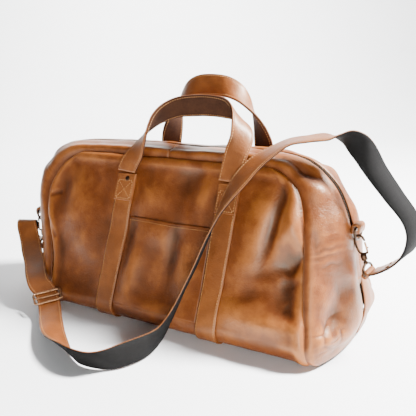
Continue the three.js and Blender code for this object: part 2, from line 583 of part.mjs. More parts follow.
const frameWire = wire(ovalCurve(framePoints.map(([a, b]) => [a, b, 0])), 1.5, 40, 6, true);
addMesh('slider_frame', placed(frameWire, buckleFrame), copper());
const barPlace = new THREE.Matrix4();
addMesh('slider_bar', placed(toBuffer(cylinder(1.4, 42, barPlace, 10)), buckleFrame), copper());

const returnPoints = [];
const returnWidths = [];
for (let i = buckleAt; i <= buckleAt + 8; i++) {
  const along = routeCentres[i + 1].clone().sub(routeCentres[i - 1]).normalize();
  const w = routeWidths[i].clone().addScaledVector(along, -routeWidths[i].dot(along)).normalize();
  const h = new THREE.Vector3().crossVectors(along, w).normalize();
  if (h.z < 0) h.negate();
  returnPoints.push(routeCentres[i].clone().addScaledVector(h, -strapThickness - 1));
  returnWidths.push(w);
}
addMesh('strap_return', strap(returnPoints, returnWidths, 22, strapWidth - 1, strapThickness), webbing());

// ---------------------------------------------------------------- inside
const liningThickness = 1;
addMesh('lining_front', panelSheet(-1, leather + 0.5, liningThickness, 14), cloth());
addMesh('lining_rear', panelSheet(1, leather + 0.5, liningThickness, 14), cloth());
const boardSurface = (u, v) => vec(
  THREE.MathUtils.lerp(268, -216, u), THREE.MathUtils.lerp(-88, 88, v), baseBottom + leather + 2.9,
);
addMesh('base_board', sheet(boardSurface, 1, 1, -2.4), board());
const innerPocketSurface = (u, v) => {
  const z = THREE.MathUtils.lerp(110, 215, v);
  const inward = leather + 0.5 + liningThickness + 0.5;
  return vec(THREE.MathUtils.lerp(120, -110, u), baseHalfDepth - lean * z - inward * Math.hypot(1, lean), z);
};
addMesh('inner_pocket', sheet(innerPocketSurface, 4, 4, 1.2), cloth());

export default bag;
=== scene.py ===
import math
import bpy
import numpy as np
from mathutils import Matrix, Vector


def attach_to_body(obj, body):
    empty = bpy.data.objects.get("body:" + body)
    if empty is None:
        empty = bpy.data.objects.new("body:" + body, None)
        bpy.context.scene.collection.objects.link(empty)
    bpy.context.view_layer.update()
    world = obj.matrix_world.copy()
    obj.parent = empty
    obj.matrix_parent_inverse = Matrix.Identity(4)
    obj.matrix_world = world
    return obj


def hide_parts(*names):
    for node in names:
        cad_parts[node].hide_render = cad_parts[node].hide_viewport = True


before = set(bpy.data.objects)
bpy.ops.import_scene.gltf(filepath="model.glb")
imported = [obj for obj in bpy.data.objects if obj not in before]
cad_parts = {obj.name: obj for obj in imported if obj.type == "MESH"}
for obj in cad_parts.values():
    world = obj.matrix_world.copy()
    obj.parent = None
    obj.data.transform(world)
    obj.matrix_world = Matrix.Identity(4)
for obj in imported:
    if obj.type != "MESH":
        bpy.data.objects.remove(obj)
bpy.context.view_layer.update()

# ---- driving dimensions (mm, as in the CAD)
SHIFT = 10.0            # the CAD's middleShift: body coordinates to the row frame
LEAN, HALF0 = 0.395, 156.0
TOP, BASE_Z, TURN_R = 278.0, 3.5, 24.0
LEATHER = 2.2           # thickness of the body leather
STRAP_W = 38.0
STRAP_X = (-92.5, 112.5)
PATCH_LOW, PATCH_HIGH = 197.0, 243.0
SHOULDER = (-245.0, 195.0, 92.0)     # centre x, z and radius of the bag's rounded left shoulder
ZIP_GAP = 6.6           # half the opening between the two gusset halves


# ---- camera
AZIMUTH, ELEVATION, ROLL = 0.5465, 0.2369, -0.0107
CAMERA_AT = (0.5468 + SHIFT / 1000, -0.8454, 0.4211)
ca, sa, ce, se = math.cos(AZIMUTH), math.sin(AZIMUTH), math.cos(ELEVATION), math.sin(ELEVATION)
right, up, back = np.array([ca, sa, 0]), np.array([-sa * se, ca * se, ce]), -np.array([-sa * ce, ca * ce, -se])
rolled_right = right * math.cos(ROLL) + up * math.sin(ROLL)
rolled_up = up * math.cos(ROLL) - right * math.sin(ROLL)
camera_data = bpy.data.cameras.new("camera")
camera_data.sensor_width = 36
camera_data.lens = 49.9
camera_data.clip_end = 20
camera = bpy.data.objects.new("camera", camera_data)
bpy.context.scene.collection.objects.link(camera)
camera.matrix_world = Matrix([*zip(rolled_right, rolled_up, back, CAMERA_AT), (0, 0, 0, 1)])
bpy.context.scene.camera = camera


# ---- curves and small maths
def spline(points, ts, centripetal=False, closed=False):
    p = np.asarray(points, float)
    n = len(p)
    out = np.empty((len(ts), p.shape[1]))
    for k, t in enumerate(ts):
        g = (n - (0 if closed else 1)) * t
        i = int(math.floor(g))
        w = g - i
        if not closed and i >= n - 1:
            i, w = n - 2, 1.0
        at = (lambda j: p[j % n]) if closed else (
            lambda j: 2 * p[0] - p[1] if j < 0 else (2 * p[-1] - p[-2] if j >= n else p[j]))
        a, b, c, d = at(i - 1), at(i), at(i + 1), at(i + 2)
        if centripetal:
            d0, d1, d2 = (max(np.linalg.norm(v) ** 0.5, 1e-4) for v in (b - a, c - b, d - c))
            t1 = ((b - a) / d0 - (c - a) / (d0 + d1) + (c - b) / d1) * d1
            t2 = ((c - b) / d1 - (d - b) / (d1 + d2) + (d - c) / d2) * d1
        else:
            t1, t2 = 0.5 * (c - a), 0.5 * (d - b)
        out[k] = b + t1 * w + (-3 * b + 3 * c - 2 * t1 - t2) * w ** 2 + (2 * b - 2 * c + t1 + t2) * w ** 3
    return out


def run_of(points):
    """Length run so far at each point of a line."""
    return np.concatenate([[0], np.cumsum(np.linalg.norm(np.diff(points, axis=0), axis=1))])


def rows_at(at, run, rows):
    """Rows given along a run, read off at other places on it."""
    return np.stack([np.interp(at, run, rows[:, k]) for k in range(3)], -1)


def circle(sides):
    return np.linspace(0, 2 * math.pi, sides, endpoint=False)


def frame_matrix(x_axis, y_axis, z_axis, origin):
    m = np.eye(4)
    m[:3] = np.stack([x_axis, y_axis, z_axis, origin], 1)
    return m


def unit(v):
    return v / np.maximum(np.linalg.norm(v, axis=-1, keepdims=True), 1e-9)


def hash3(ix, iy, iz, seed):
    h = (ix * 374761393 + iy * 668265263 + iz * 2147483647 + seed * 974634777) & 0xFFFFFFFF
    h = ((h ^ (h >> 13)) * 1274126177) & 0xFFFFFFFF
    return ((h ^ (h >> 16)) & 0xFFFFFF) / float(0xFFFFFF)


def noise(p, seed=1):
    """Smooth value noise from 0 to 1 at points p (..., 3)."""
    q = np.floor(p).astype(np.int64)
    f = p - q
    f = f * f * f * (f * (f * 6 - 15) + 10)
    total = 0
    for dx in (0, 1):
        for dy in (0, 1):
            for dz in (0, 1):
                w = ((f[..., 0] if dx else 1 - f[..., 0]) * (f[..., 1] if dy else 1 - f[..., 1])
                     * (f[..., 2] if dz else 1 - f[..., 2]))
                total = total + w * hash3(q[..., 0] + dx, q[..., 1] + dy, q[..., 2] + dz, seed)
    return total


def ridged(p, seed=1):
    """Narrow creases: 1 on a crease line, falling to 0 beside it."""
    return np.clip(1 - np.abs(2 * noise(p, seed) - 1) * 2.2, 0, 1) ** 1.5


def fold(x, z, a, b, width, height):
    """A rounded fold along the segment a-b of the (x, z) plane, fading at its ends."""
    a, b = np.array(a, float), np.array(b, float)
    d = b - a
    length = np.linalg.norm(d)
    k = ((x - a[0]) * d[0] + (z - a[1]) * d[1]) / length ** 2
    off = ((x - a[0]) * d[1] - (z - a[1]) * d[0]) / length
    ends = np.clip(np.minimum(k + 0.15, 1.15 - k) / 0.3, 0, 1)
    ends = ends * ends * (3 - 2 * ends)
    return height * ends * np.exp(-(off / width) ** 2)


# ---- meshes
def new_object(name, vertices, faces, material, smooth=True, uv=None, indices=None, attribute=None):
    mesh = bpy.data.meshes.new(name)
    v = np.asarray(vertices, float) / 1000.0
    v = v + np.array([SHIFT / 1000.0, 0, 0])
    mesh.from_pydata(v.tolist(), [], [tuple(int(i) for i in f) for f in faces])
    for m in (material if isinstance(material, (list, tuple)) else [material]):
        mesh.materials.append(m)
    if indices is not None:
        mesh.polygons.foreach_set("material_index", np.asarray(indices, np.int32))
    mesh.polygons.foreach_set("use_smooth", [smooth] * len(mesh.polygons))
    if uv is not None:
        layer = mesh.uv_layers.new(name="UVMap")
        loops = np.empty(len(mesh.loops), np.int32)
        mesh.loops.foreach_get("vertex_index", loops)
        layer.data.foreach_set("uv", np.asarray(uv, float)[loops].ravel())
    if attribute is not None:
        wear_and_shade = mesh.attributes.new("wear_and_shade", "FLOAT", "POINT")
        wear_and_shade.data.foreach_set("value", np.asarray(attribute, np.float32).ravel())
    mesh.update()
    obj = bpy.data.objects.new(name, mesh)
    bpy.context.scene.collection.objects.link(obj)
    return obj


def attach(piece, body, *nodes):
    """The piece rides on the body and stands for the CAD nodes named."""
    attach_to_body(piece, body)
    if nodes:
        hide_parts(*nodes)
    return piece


def grid(name, points, material, flip=False, thickness=0.0, wear_and_shade=None):
    """points (rows, columns, 3) in mm; the shown side is columns x rows, unless flipped."""
    rows, columns = points.shape[:2]
    index = np.arange(rows * columns).reshape(rows, columns)
    quads = np.stack([index[:-1, :-1], index[:-1, 1:], index[1:, 1:], index[1:, :-1]], -1).reshape(-1, 4)
    if flip:
        quads = quads[:, ::-1]
    obj = new_object(name, points.reshape(-1, 3), quads, material,
                     attribute=None if wear_and_shade is None else wear_and_shade.ravel())
    if thickness:
        solid = obj.modifiers.new("thickness", "SOLIDIFY")
        solid.thickness = thickness / 1000
        solid.offset = -1
    return obj


def sweep(sections, closed=False):
    """Vertices and faces of a tube through equal sections (n, m, 3); open ends are capped."""
    n, m = sections.shape[:2]
    faces = []
    for i in range(n if closed else n - 1):
        j = (i + 1) % n
        for k in range(m):
            after = (k + 1) % m
            faces.append((i * m + k, i * m + after, j * m + after, j * m + k))
    if not closed:
        faces.append(tuple(range(m))[::-1])
        faces.append(tuple((n - 1) * m + k for k in range(m)))
    return sections.reshape(-1, 3), faces


def ribbon_frames(centres, widths, n):
    """Even stations along a strap: centre, along, across, face, and the run from its start."""
    fine = np.linspace(0, 1, 1200)
    c = spline(centres, fine, True)
    w = spline(widths, fine, True)
    run = run_of(c)
    at = np.linspace(0, run[-1], n)
    c, w = rows_at(at, run, c), rows_at(at, run, w)
    along = unit(np.gradient(c, axis=0))
    w = unit(w - np.sum(w * along, 1, keepdims=True) * along)
    return c, along, w, unit(np.cross(w, along)), at


def slab(half, low, high, crown=0.5, edge=0.9):
    """Cross-section of a leather strip: rounded edges, slightly crowned face, a dip at each stitch line."""
    top = [(-half, high - edge), (-half + edge * 0.4, high - 0.2), (-half + 1.6, high), (-half + 3.2, high - 0.35),
           (-half + 5, high + crown * 0.4), (-half * 0.4, high + crown), (half * 0.4, high + crown)]
    top += [(-a, b) for a, b in top[4::-1]]
    bottom = [(half, low + 0.4), (half - 0.7, low), (0, low), (-half + 0.7, low), (-half, low + 0.4)]
    return top + bottom


def strip(name, frames, profile, material, ride):
    c, _, w, h, at = frames
    p = np.array(profile)
    v, f = sweep(c[:, None] + w[:, None] * p[None, :, :1] + h[:, None] * p[None, :, 1:])
    run = np.repeat(at, len(p))
    across = np.tile(p[:, 0], len(c))
    return attach(new_object(name, v, f, material, uv=np.stack([run / 10, across / 10], 1)), ride)


def tube(points, radius, n=40, sides=10, closed=False, taper=None):
    ts = np.linspace(0, 1, n, endpoint=not closed)
    c = spline(points, ts, True, closed)
    t = unit(np.roll(c, -1, 0) - np.roll(c, 1, 0)) if closed else unit(np.gradient(c, axis=0))
    a = unit(np.cross(t[0], [0.31, 0.52, 0.79]))
    sections = []
    for i in range(n):
        a = unit(a - np.dot(a, t[i]) * t[i])
        b = np.cross(t[i], a)
        r = radius * (taper[i] if taper is not None else 1)
        q = circle(sides)
        sections.append(c[i] + r * (np.cos(q)[:, None] * a + np.sin(q)[:, None] * b))
    return sweep(np.array(sections), closed)


def lathe(profile, sides=20):
    """profile: (radius, height) pairs up the Z axis, closed at both ends."""
    return sweep(np.array([[(r * math.cos(a), r * math.sin(a), z) for a in circle(sides)] for r, z in profile]))


def join(parts):
    vs, fs, n = [], [], 0
    for v, f in parts:
        vs.append(np.asarray(v))
        fs += [tuple(i + n for i in q) for q in f]
        n += len(v)
    return np.concatenate(vs), fs


def placed(name, part, m, material, body, *nodes):
    """A part (vertices, faces) moved by the matrix m, and attached."""
    v, f = part
    return attach(new_object(name, v @ m[:3, :3].T + m[:3, 3], f, material), body, *nodes)


# ---- stitches
class Stitches:
    """Sewn lines gathered into one piece: a low, pointed ridge for each stitch."""

    def __init__(self, name, material, body, length=3.1, pitch=4.4, radius=0.62):
        self.name, self.material, self.body = name, material, body
        self.length, self.pitch, self.radius = length, pitch, radius
        self.vertices, self.faces = [], []

    def line(self, points, normals):
        p, nrm = np.asarray(points, float), np.asarray(normals, float)
        run = run_of(p)
        count = int(run[-1] // self.pitch)
        if count < 1:
            return
        at = (np.arange(count) + 0.5) * run[-1] / count
        c = rows_at(at, run, p)
        d = unit(rows_at(at + 0.6, run, p) - rows_at(at - 0.6, run, p))
        m = unit(rows_at(at, run, nrm))
        s = np.cross(d, m)
        for ci, di, mi, si in zip(c, d, m, s):
            n = len(self.vertices)
            h, r = self.length / 2, self.radius
            ring = [(-h, 0, -0.3), (-h * 0.7, r, 0.15), (-h * 0.7, 0, r), (-h * 0.7, -r, 0.15),
                    (h * 0.7, r, 0.15), (h * 0.7, 0, r), (h * 0.7, -r, 0.15), (h, 0, -0.3)]
            self.vertices += [ci + di * a + si * b + mi * e for a, b, e in ring]
            self.faces += [tuple(n + i for i in q) for q in (
                (0, 2, 1), (0, 3, 2), (0, 1, 3), (1, 2, 5, 4), (2, 3, 6, 5), (3, 1, 4, 6),
                (4, 5, 7), (5, 6, 7), (6, 4, 7))]

    def make(self):
        if self.vertices:
            return attach(new_object(self.name, np.array(self.vertices), self.faces, self.material), self.body)


# ---- materials
class Nodes:
    """A material and short ways to add its nodes."""

    def __init__(self, name):
        self.material = bpy.data.materials.new(name)
        self.material.use_nodes = True
        self.tree = self.material.node_tree
        self.shader = self.tree.nodes["Principled BSDF"]
        self.coords = self.tree.nodes.new("ShaderNodeTexCoord").outputs["Object"]

    def add(self, kind, **values):
        node = self.tree.nodes.new(kind)
        for key, value in values.items():
            if hasattr(node, key):
                setattr(node, key, value)
            else:
                node.inputs[key.replace("_", " ")].default_value = value
        return node

    def set(self, **values):
        for key, value in values.items():
            self.shader.inputs[key.replace("_", " ")].default_value = value

    def link(self, a, b):
        self.tree.links.new(a, b)

    def noise(self, scale, detail=4.0, roughness=0.55, coords=None):
        node = self.add("ShaderNodeTexNoise", Scale=scale, Detail=detail, Roughness=roughness)
        self.link(coords or self.coords, node.inputs["Vector"])
        return node.outputs["Fac"]

    def ramp(self, value, stops):
        node = self.add("ShaderNodeValToRGB")
        ramp = node.color_ramp
        while len(ramp.elements) < len(stops):
            ramp.elements.new(0.5)
        for element, (place, colour) in zip(ramp.elements, stops):
            element.position = place
            element.color = (*colour, 1) if len(colour) == 3 else colour
        self.link(value, node.inputs["Fac"])
        return node.outputs["Color"]

    def math(self, operation, a, b=None, clamp=False):
        node = self.add("ShaderNodeMath", operation=operation, use_clamp=clamp)
        for slot, value in zip(node.inputs, (a, b)):
            if isinstance(value, (int, float)):
                slot.default_value = value
            elif value is not None:
                self.link(value, slot)
        return node.outputs[0]

    def bump(self, height, distance, strength=1.0, normal=None):
        node = self.add("ShaderNodeBump", Strength=strength, Distance=distance)
        self.link(height, node.inputs["Height"])
        if normal is not None:
            self.link(normal, node.inputs["Normal"])
        return node.outputs["Normal"]


def leather(name, dark, mid, light, rough=0.44, grain=1.0, use_wear_and_shade=False, coat=0.22):
    n = Nodes(name)
    cloud = n.noise(9, 5, 0.6)
    mottle = n.noise(55, 6, 0.62)
    value = n.math("ADD", n.math("MULTIPLY", cloud, 0.62), n.math("MULTIPLY", mottle, 0.38))
    # Painted shade and wear from the mesh: darker in the hollows and creases as painted shade, lighter on the proud
    # folds as rubbed wear.
    if use_wear_and_shade:
        wear_and_shade = n.add("ShaderNodeAttribute", attribute_name="wear_and_shade").outputs["Fac"]
        value = n.math("ADD", value, n.math("MULTIPLY", wear_and_shade, 0.34))
    colour = n.ramp(value, [(0.18, dark), (0.5, mid), (0.82, light)])
    n.link(colour, n.shader.inputs["Base Color"])
    cells = n.add("ShaderNodeTexVoronoi", Scale=520.0, feature="F1")
    warp = n.add("ShaderNodeTexNoise", Scale=160.0, Detail=3.0)
    n.link(n.coords, warp.inputs["Vector"])
    mix = n.add("ShaderNodeMix", data_type="VECTOR")
    mix.inputs[0].default_value = 0.012
    n.link(n.coords, mix.inputs[4])
    n.link(warp.outputs["Color"], mix.inputs[5])
    n.link(mix.outputs[1], cells.inputs["Vector"])
    fine = n.noise(240, 5, 0.6)
    grain_normal = n.bump(cells.outputs["Distance"], 0.0005 * grain, 0.55)
    crease = n.bump(fine, 0.0009 * grain, 0.5, grain_normal)
    n.link(crease, n.shader.inputs["Normal"])
    n.link(n.ramp(mottle, [(0.25, (rough - 0.1,) * 3), (0.75, (rough + 0.13,) * 3)]),
           n.shader.inputs["Roughness"])
    n.set(Coat_Weight=coat, Coat_Roughness=0.34, Coat_Tint=(1.0, 0.86, 0.66, 1), Specular_IOR_Level=0.5,
          Specular_Tint=(1.0, 0.84, 0.60, 1))
    return n.material


def metal(name, dark, light, rough=0.36):
    n = Nodes(name)
    patina = n.noise(190, 6, 0.65)
    n.link(n.ramp(patina, [(0.3, dark), (0.72, light)]), n.shader.inputs["Base Color"])
    n.set(Metallic=0.95)
    n.link(n.ramp(patina, [(0.2, (rough + 0.16,) * 3), (0.8, (rough - 0.08,) * 3)]), n.shader.inputs["Roughness"])
    n.link(n.bump(n.noise(900, 3, 0.5), 0.0001, 0.4), n.shader.inputs["Normal"])
    return n.material


def woven(name, dark, light, per_mm=1.1, rough=0.85, use_uv=True):
    n = Nodes(name)
    source = n.add("ShaderNodeTexCoord").outputs["UV"] if use_uv else n.coords
    scale = (per_mm * 10 if use_uv else per_mm * 1000) * math.pi
    split = n.add("ShaderNodeSeparateXYZ")
    n.link(source, split.inputs[0])
    waves = [n.math("SINE", n.math("MULTIPLY", split.outputs[k], scale)) for k in (0, 1)]
    weave = n.math("ADD", n.math("MULTIPLY", n.math("MULTIPLY", waves[0], waves[1]), 0.5), 0.5)
    speck = n.math("ADD", n.math("MULTIPLY", weave, 0.6), n.math("MULTIPLY", n.noise(150, 4), 0.4))
    n.link(n.ramp(speck, [(0.25, dark), (0.85, light)]), n.shader.inputs["Base Color"])
    n.link(n.bump(weave, 0.0004, 0.8), n.shader.inputs["Normal"])
    n.set(Roughness=rough, Specular_IOR_Level=0.15)
    return n.material


def suede(name, dark, light):
    n = Nodes(name)
    nap = n.noise(320, 6, 0.7)
    value = n.math("ADD", n.math("MULTIPLY", nap, 0.5), n.math("MULTIPLY", n.noise(30, 4), 0.5))
    n.link(n.ramp(value, [(0.3, dark), (0.7, light)]), n.shader.inputs["Base Color"])
    n.link(n.bump(nap, 0.0005, 0.6), n.shader.inputs["Normal"])
    n.set(Roughness=0.92, Specular_IOR_Level=0.2)
    return n.material


# The body tan carries painted shade in its hollows and rubbed wear on its folds, from the mesh attribute.
tan = leather("tan_leather", (0.028, 0.0060, 0.0010), (0.122, 0.0290, 0.0042), (0.31, 0.102, 0.0190), use_wear_and_shade=True)
strap_tan = leather("strap_leather", (0.048, 0.0120, 0.0024), (0.160, 0.0450, 0.0082), (0.33, 0.115, 0.0250),
                    rough=0.48)
# A shaded copy of the tan leather: the base is painted much darker, as the shade under the bag.
shaded_base_tan = leather("base_leather", (0.02, 0.005, 0.0015), (0.05, 0.014, 0.004), (0.09, 0.028, 0.009), rough=0.6)
back_suede = suede("suede_back", (0.016, 0.0055, 0.0022), (0.06, 0.022, 0.0085))
thread = suede("thread", (0.30, 0.13, 0.045), (0.58, 0.30, 0.12))
web = woven("black_webbing", (0.0008, 0.0007, 0.0007), (0.0085, 0.0078, 0.0072))
tape = woven("zip_tape", (0.004, 0.0024, 0.0016), (0.018, 0.011, 0.0075), use_uv=False)
cotton = woven("lining_cotton", (0.03, 0.02, 0.014), (0.11, 0.078, 0.055), use_uv=False, per_mm=0.9)
dark_metal = metal("antique_brass", (0.020, 0.011, 0.007), (0.085, 0.048, 0.027))
copper = metal("copper_brass", (0.14, 0.062, 0.028), (0.50, 0.27, 0.14), 0.34)
tooth_metal = metal("zip_brass", (0.022, 0.014, 0.009), (0.09, 0.058, 0.034), 0.4)
stiffener = suede("board_fibre", (0.28, 0.25, 0.21), (0.42, 0.38, 0.33))


# ---- shoulder strap (the free cord)
# The route of its centreline, in metres, as in the CAD, and the direction of its width at each point.
ROUTE = [
    (0.3396, -0.0063, 0.1184), (0.346, -0.007, 0.121), (0.363, -0.01, 0.132), (0.378, -0.011, 0.145),
    (0.39, -0.01, 0.162), (0.394, -0.006, 0.183), (0.387, 0, 0.205), (0.36, 0.006, 0.236), (0.332, 0.008, 0.27),
    (0.31, 0.006, 0.302), (0.294, 0.001, 0.316), (0.278, -0.005, 0.32), (0.26, -0.013, 0.32), (0.236, -0.025, 0.317),
    (0.21, -0.039, 0.312), (0.187, -0.056, 0.297), (0.168, -0.071, 0.28), (0.154, -0.087, 0.259),
    (0.141, -0.098, 0.236), (0.13, -0.106, 0.214), (0.12, -0.113, 0.188), (0.109, -0.121, 0.157),
    (0.097, -0.13, 0.123), (0.085, -0.144, 0.088), (0.076, -0.164, 0.054), (0.07, -0.19, 0.028),
    (0.067, -0.212, 0.0207), (0.065, -0.232, 0.0211), (0.057, -0.256, 0.0207), (0.044, -0.279, 0.0195),
    (0.024, -0.293, 0.0187), (-0.002, -0.296, 0.0187), (-0.03, -0.288, 0.0174), (-0.06, -0.273, 0.016),
    (-0.094, -0.252, 0.015), (-0.13, -0.223, 0.016), (-0.164, -0.192, 0.018), (-0.177, -0.181, 0.0225),
    (-0.187, -0.174, 0.027), (-0.197, -0.167, 0.0315), (-0.208, -0.163, 0.037), (-0.222, -0.161, 0.045),
    (-0.241, -0.149, 0.055), (-0.268, -0.126, 0.067), (-0.294, -0.108, 0.081), (-0.312, -0.094, 0.095),
    (-0.323, -0.087, 0.107), (-0.332, -0.082, 0.119), (-0.337, -0.0775, 0.126), (-0.34, -0.0716, 0.128),
    (-0.342, -0.066, 0.122), (-0.342, -0.0635, 0.111), (-0.3404, -0.0597, 0.099), (-0.3375, -0.0541, 0.088),
    (-0.3302, -0.0493, 0.0789)]
ROUTE_W = [
    (-0.01, -1, 0), (0, -1, 0), (0, -1, 0), (0, -1, 0.05), (-0.15, -0.97, 0.15), (-0.3, -0.93, 0.1),
    (-0.42, -0.9, -0.07), (-0.45, -0.86, -0.26), (-0.52, -0.75, -0.4), (-0.7, -0.35, -0.6), (-0.6, 0.35, -0.7),
    (-0.42, 0.85, -0.3), (-0.4, 0.9, 0.15),
    (-0.2, 0.97, 0.15), (-0.36, 0.92, 0.15), (-0.51, 0.82, 0.26), (-0.66, 0.66, 0.36), (-0.7, 0.6, 0.38),
    (-0.67, 0.72, 0.2), (-0.57, 0.82, 0), (-0.49, 0.85, -0.2), (-0.44, 0.84, -0.33), (-0.44, 0.84, -0.33),
    (-0.44, 0.84, -0.33), (-0.41, 0.76, -0.51), (-0.26, 0.47, -0.84), (-0.1, 0.2, -0.97), (0, 0.1, -1),
    (0.1, 0.2, -0.97), (0.1, 0.4, -0.91), (0, 0.5, -0.87), (0, 0.5, -0.87), (0, 0.6, -0.8), (0.1, 0.82, -0.56),
    (0.31, 0.92, -0.25), (0.47, 0.88, 0.05), (0.51, 0.85, 0.15), (0.51, 0.84, 0.17), (0.51, 0.84, 0.17),
    (0.51, 0.84, 0.17), (0.51, 0.84, 0.17), (0.52, 0.84, 0.15), (0.55, 0.83, 0.1), (0.61, 0.79, 0.1),
    (0.71, 0.71, 0.05), (0.78, 0.62, 0), (0.83, 0.56, 0), (0.86, 0.5, 0), (0.91, 0.42, 0), (0.91, 0.42, 0),
    (0.93, 0.36, 0), (0.98, 0.2, 0), (0.94, -0.34, 0), (0.67, -0.74, 0), (0.42, -0.91, 0)]
sc, sa, sw, sh, srun = ribbon_frames(np.array(ROUTE) * 1000 - np.array([SHIFT, 0, 0]), ROUTE_W, 420)
half = STRAP_W / 2
leather_part = slab(half, 0.05, 1.55, 0.15, 0.7)
web_part = [(half - 0.4, -0.05), (half - 0.9, -1.55), (0, -1.6), (-half + 0.9, -1.55), (-half + 0.4, -0.05)]
profile = np.array(leather_part[:12] + web_part)
sv, sf = sweep(sc[:, None] + sw[:, None] * profile[None, :, :1] + sh[:, None] * profile[None, :, 1:])
m = len(profile)
indices = [0 if (k % m) < 11 or (k % m) == m - 1 else 1 for k in range((len(sc) - 1) * m)] + [0, 0]
strap_uv = np.stack([np.repeat(srun, m) / 10, np.tile(profile[:, 0], len(sc)) / 10], 1)
shoulder = attach(new_object("strap_band", sv, sf, [strap_tan, web], uv=strap_uv, indices=indices),
                  "bag", "shoulder_strap")
strap_stitches = Stitches("strap_stitching", thread, "bag")
for side in (-1, 1):
    strap_stitches.line(sc + sw * side * (half - 3.2) + sh * 1.35, sh)
strap_thread = strap_stitches.make()

# The strap's return layer, from the buckle up to the crest, under the main layer.
buckle_at, crest_at = (int(np.argmin(np.linalg.norm(sc - np.array(p), axis=1)))
                       for p in ((-197, -174, 27), (-342, -82, 119)))
doubled = slice(buckle_at - 8, crest_at)
return_frames = (sc[doubled] - sh[doubled] * 4.1, sa[doubled], sw[doubled], -sh[doubled], srun[doubled])
under = strip("return_leather", return_frames, slab(half - 0.5, 0.05, 1.5, 0.1, 0.7), strap_tan, "bag")
over = strip("return_webbing", return_frames, slab(half - 0.9, -1.5, -0.05, 0.0, 0.5), web, "bag")
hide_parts("strap_return")

# Adjusting buckle.
b_out = unit(sh[buckle_at])
if b_out[2] < 0:
    b_out = -b_out
b_along = sa[buckle_at]
b_across = np.cross(b_out, b_along)
buckle_place = frame_matrix(b_along, b_across, b_out, sc[buckle_at] + b_out * 4.3)
frame_points = [(-13, -20, 0), (-13, 0, 0), (-13, 20, 0), (-10, 23, 0), (0, 23, 0), (10, 23, 0), (13, 20, 0),
                (13, 0, 0), (13, -20, 0), (10, -23, 0), (0, -23, 0), (-10, -23, 0)]
bar_points = [(0, -24.5, 0), (0, -8, 0), (0, 8, 0), (0, 24.5, 0)]
buckle = placed("buckle_frame", tube(frame_points, 2.1, 72, 12, True), buckle_place, copper, "bag", "slider_frame")
bar = placed("buckle_bar", tube(bar_points, 1.5, 12, 12), buckle_place, copper, "bag", "slider_bar")


# ---- body shell
# x, z of the seam round the flat panels, and of the zip line round the crown of the gusset.
SEAM = [(-228, 6), (-232, 50), (-243, 100), (-264, 145), (-278, 180), (-279, 204), (-272, 228), (-255, 252),
        (-222, 271), (-160, 278), (-60, 278), (60, 278), (150, 278), (200, 265), (230, 236), (248, 180), (262, 105),
        (274, 50), (284, 6)]


def shoulder_point(degrees):
    a = math.radians(degrees)
    return (SHOULDER[0] + SHOULDER[2] * math.cos(a), SHOULDER[1] + SHOULDER[2] * math.sin(a))


CROWN = [(-278, 6), (-302, 50), (-322, 100), (-334, 150), *(shoulder_point(a) for a in (180, 160, 140, 115, 90)),
         (-165, 290.5), (-60, 291), (60, 290), (150, 289), (218, 279), (265, 242), (289, 182), (304, 105),
         (314, 50), (305, 6)]
TURN = math.atan(LEAN)
TURN_CZ = BASE_Z + TURN_R
TURN_TOP = TURN_CZ + TURN_R * math.sin(TURN)
TURN_CY = HALF0 - LEAN * TURN_TOP - TURN_R * math.cos(TURN)


def half_depth(z):
    z = np.asarray(z, float)
    dz = np.clip(TURN_CZ - z, -TURN_R, TURN_R)
    return np.where(z >= TURN_TOP, HALF0 - LEAN * z, TURN_CY + np.sqrt(TURN_R ** 2 - dz ** 2))


dense = np.linspace(0, 1, 1501)
seam_xz = spline(SEAM, dense)
crown_xz = spline(CROWN, dense)
mid = len(dense) // 2
left_z, right_z = np.maximum.accumulate(seam_xz[:mid, 1]), np.maximum.accumulate(seam_xz[:mid:-1, 1])


def seam_x(z, side):
    z = np.clip(z, SEAM[0][1], TOP - 0.2)
    if side < 0:
        return np.interp(z, left_z + np.arange(len(left_z)) * 1e-6, seam_xz[:mid, 0])
    return np.interp(z, right_z + np.arange(len(right_z)) * 1e-6, seam_xz[:mid:-1, 0])


UNDER = 96.0                        # the panel runs in under the base to this depth
LEAN_L = math.hypot(TOP - TURN_TOP, LEAN * (TOP - TURN_TOP))
TURN_L = TURN_R * (math.pi / 2 + TURN)
PANEL_L = LEAN_L + TURN_L + TURN_CY - UNDER


def profile_at(d):
    """y, z and the outward normal of the panel at a run d down it from the top seam: lean, turn, base."""
    d = np.asarray(d, float)
    z1 = TOP - (TOP - TURN_TOP) * d / LEAN_L
    a = TURN - (d - LEAN_L) / TURN_R
    y2, z2 = TURN_CY + TURN_R * np.cos(a), TURN_CZ + TURN_R * np.sin(a)
    y3 = TURN_CY - (d - LEAN_L - TURN_L)
    leaning, turning = d <= LEAN_L, d <= LEAN_L + TURN_L
    return tuple(np.where(leaning, lean, np.where(turning, turn, base)) for lean, turn, base in (
        (HALF0 - LEAN * z1, y2, y3), (z1, z2, BASE_Z), (math.cos(TURN), np.cos(a), 0), (math.sin(TURN), np.sin(a), -1)))


def swelling(x, z, cx, cz, rx, rz, height, turn=0.0):
    """A rounded swelling (or hollow, height < 0) at (cx, cz), radii rx and rz, turned by degrees."""
    c, q = math.cos(math.radians(turn)), math.sin(math.radians(turn))
    a, b = (x - cx) * c + (z - cz) * q, (z - cz) * c - (x - cx) * q
    return height * np.exp(-(a / rx) ** 2 - (b / rz) ** 2)


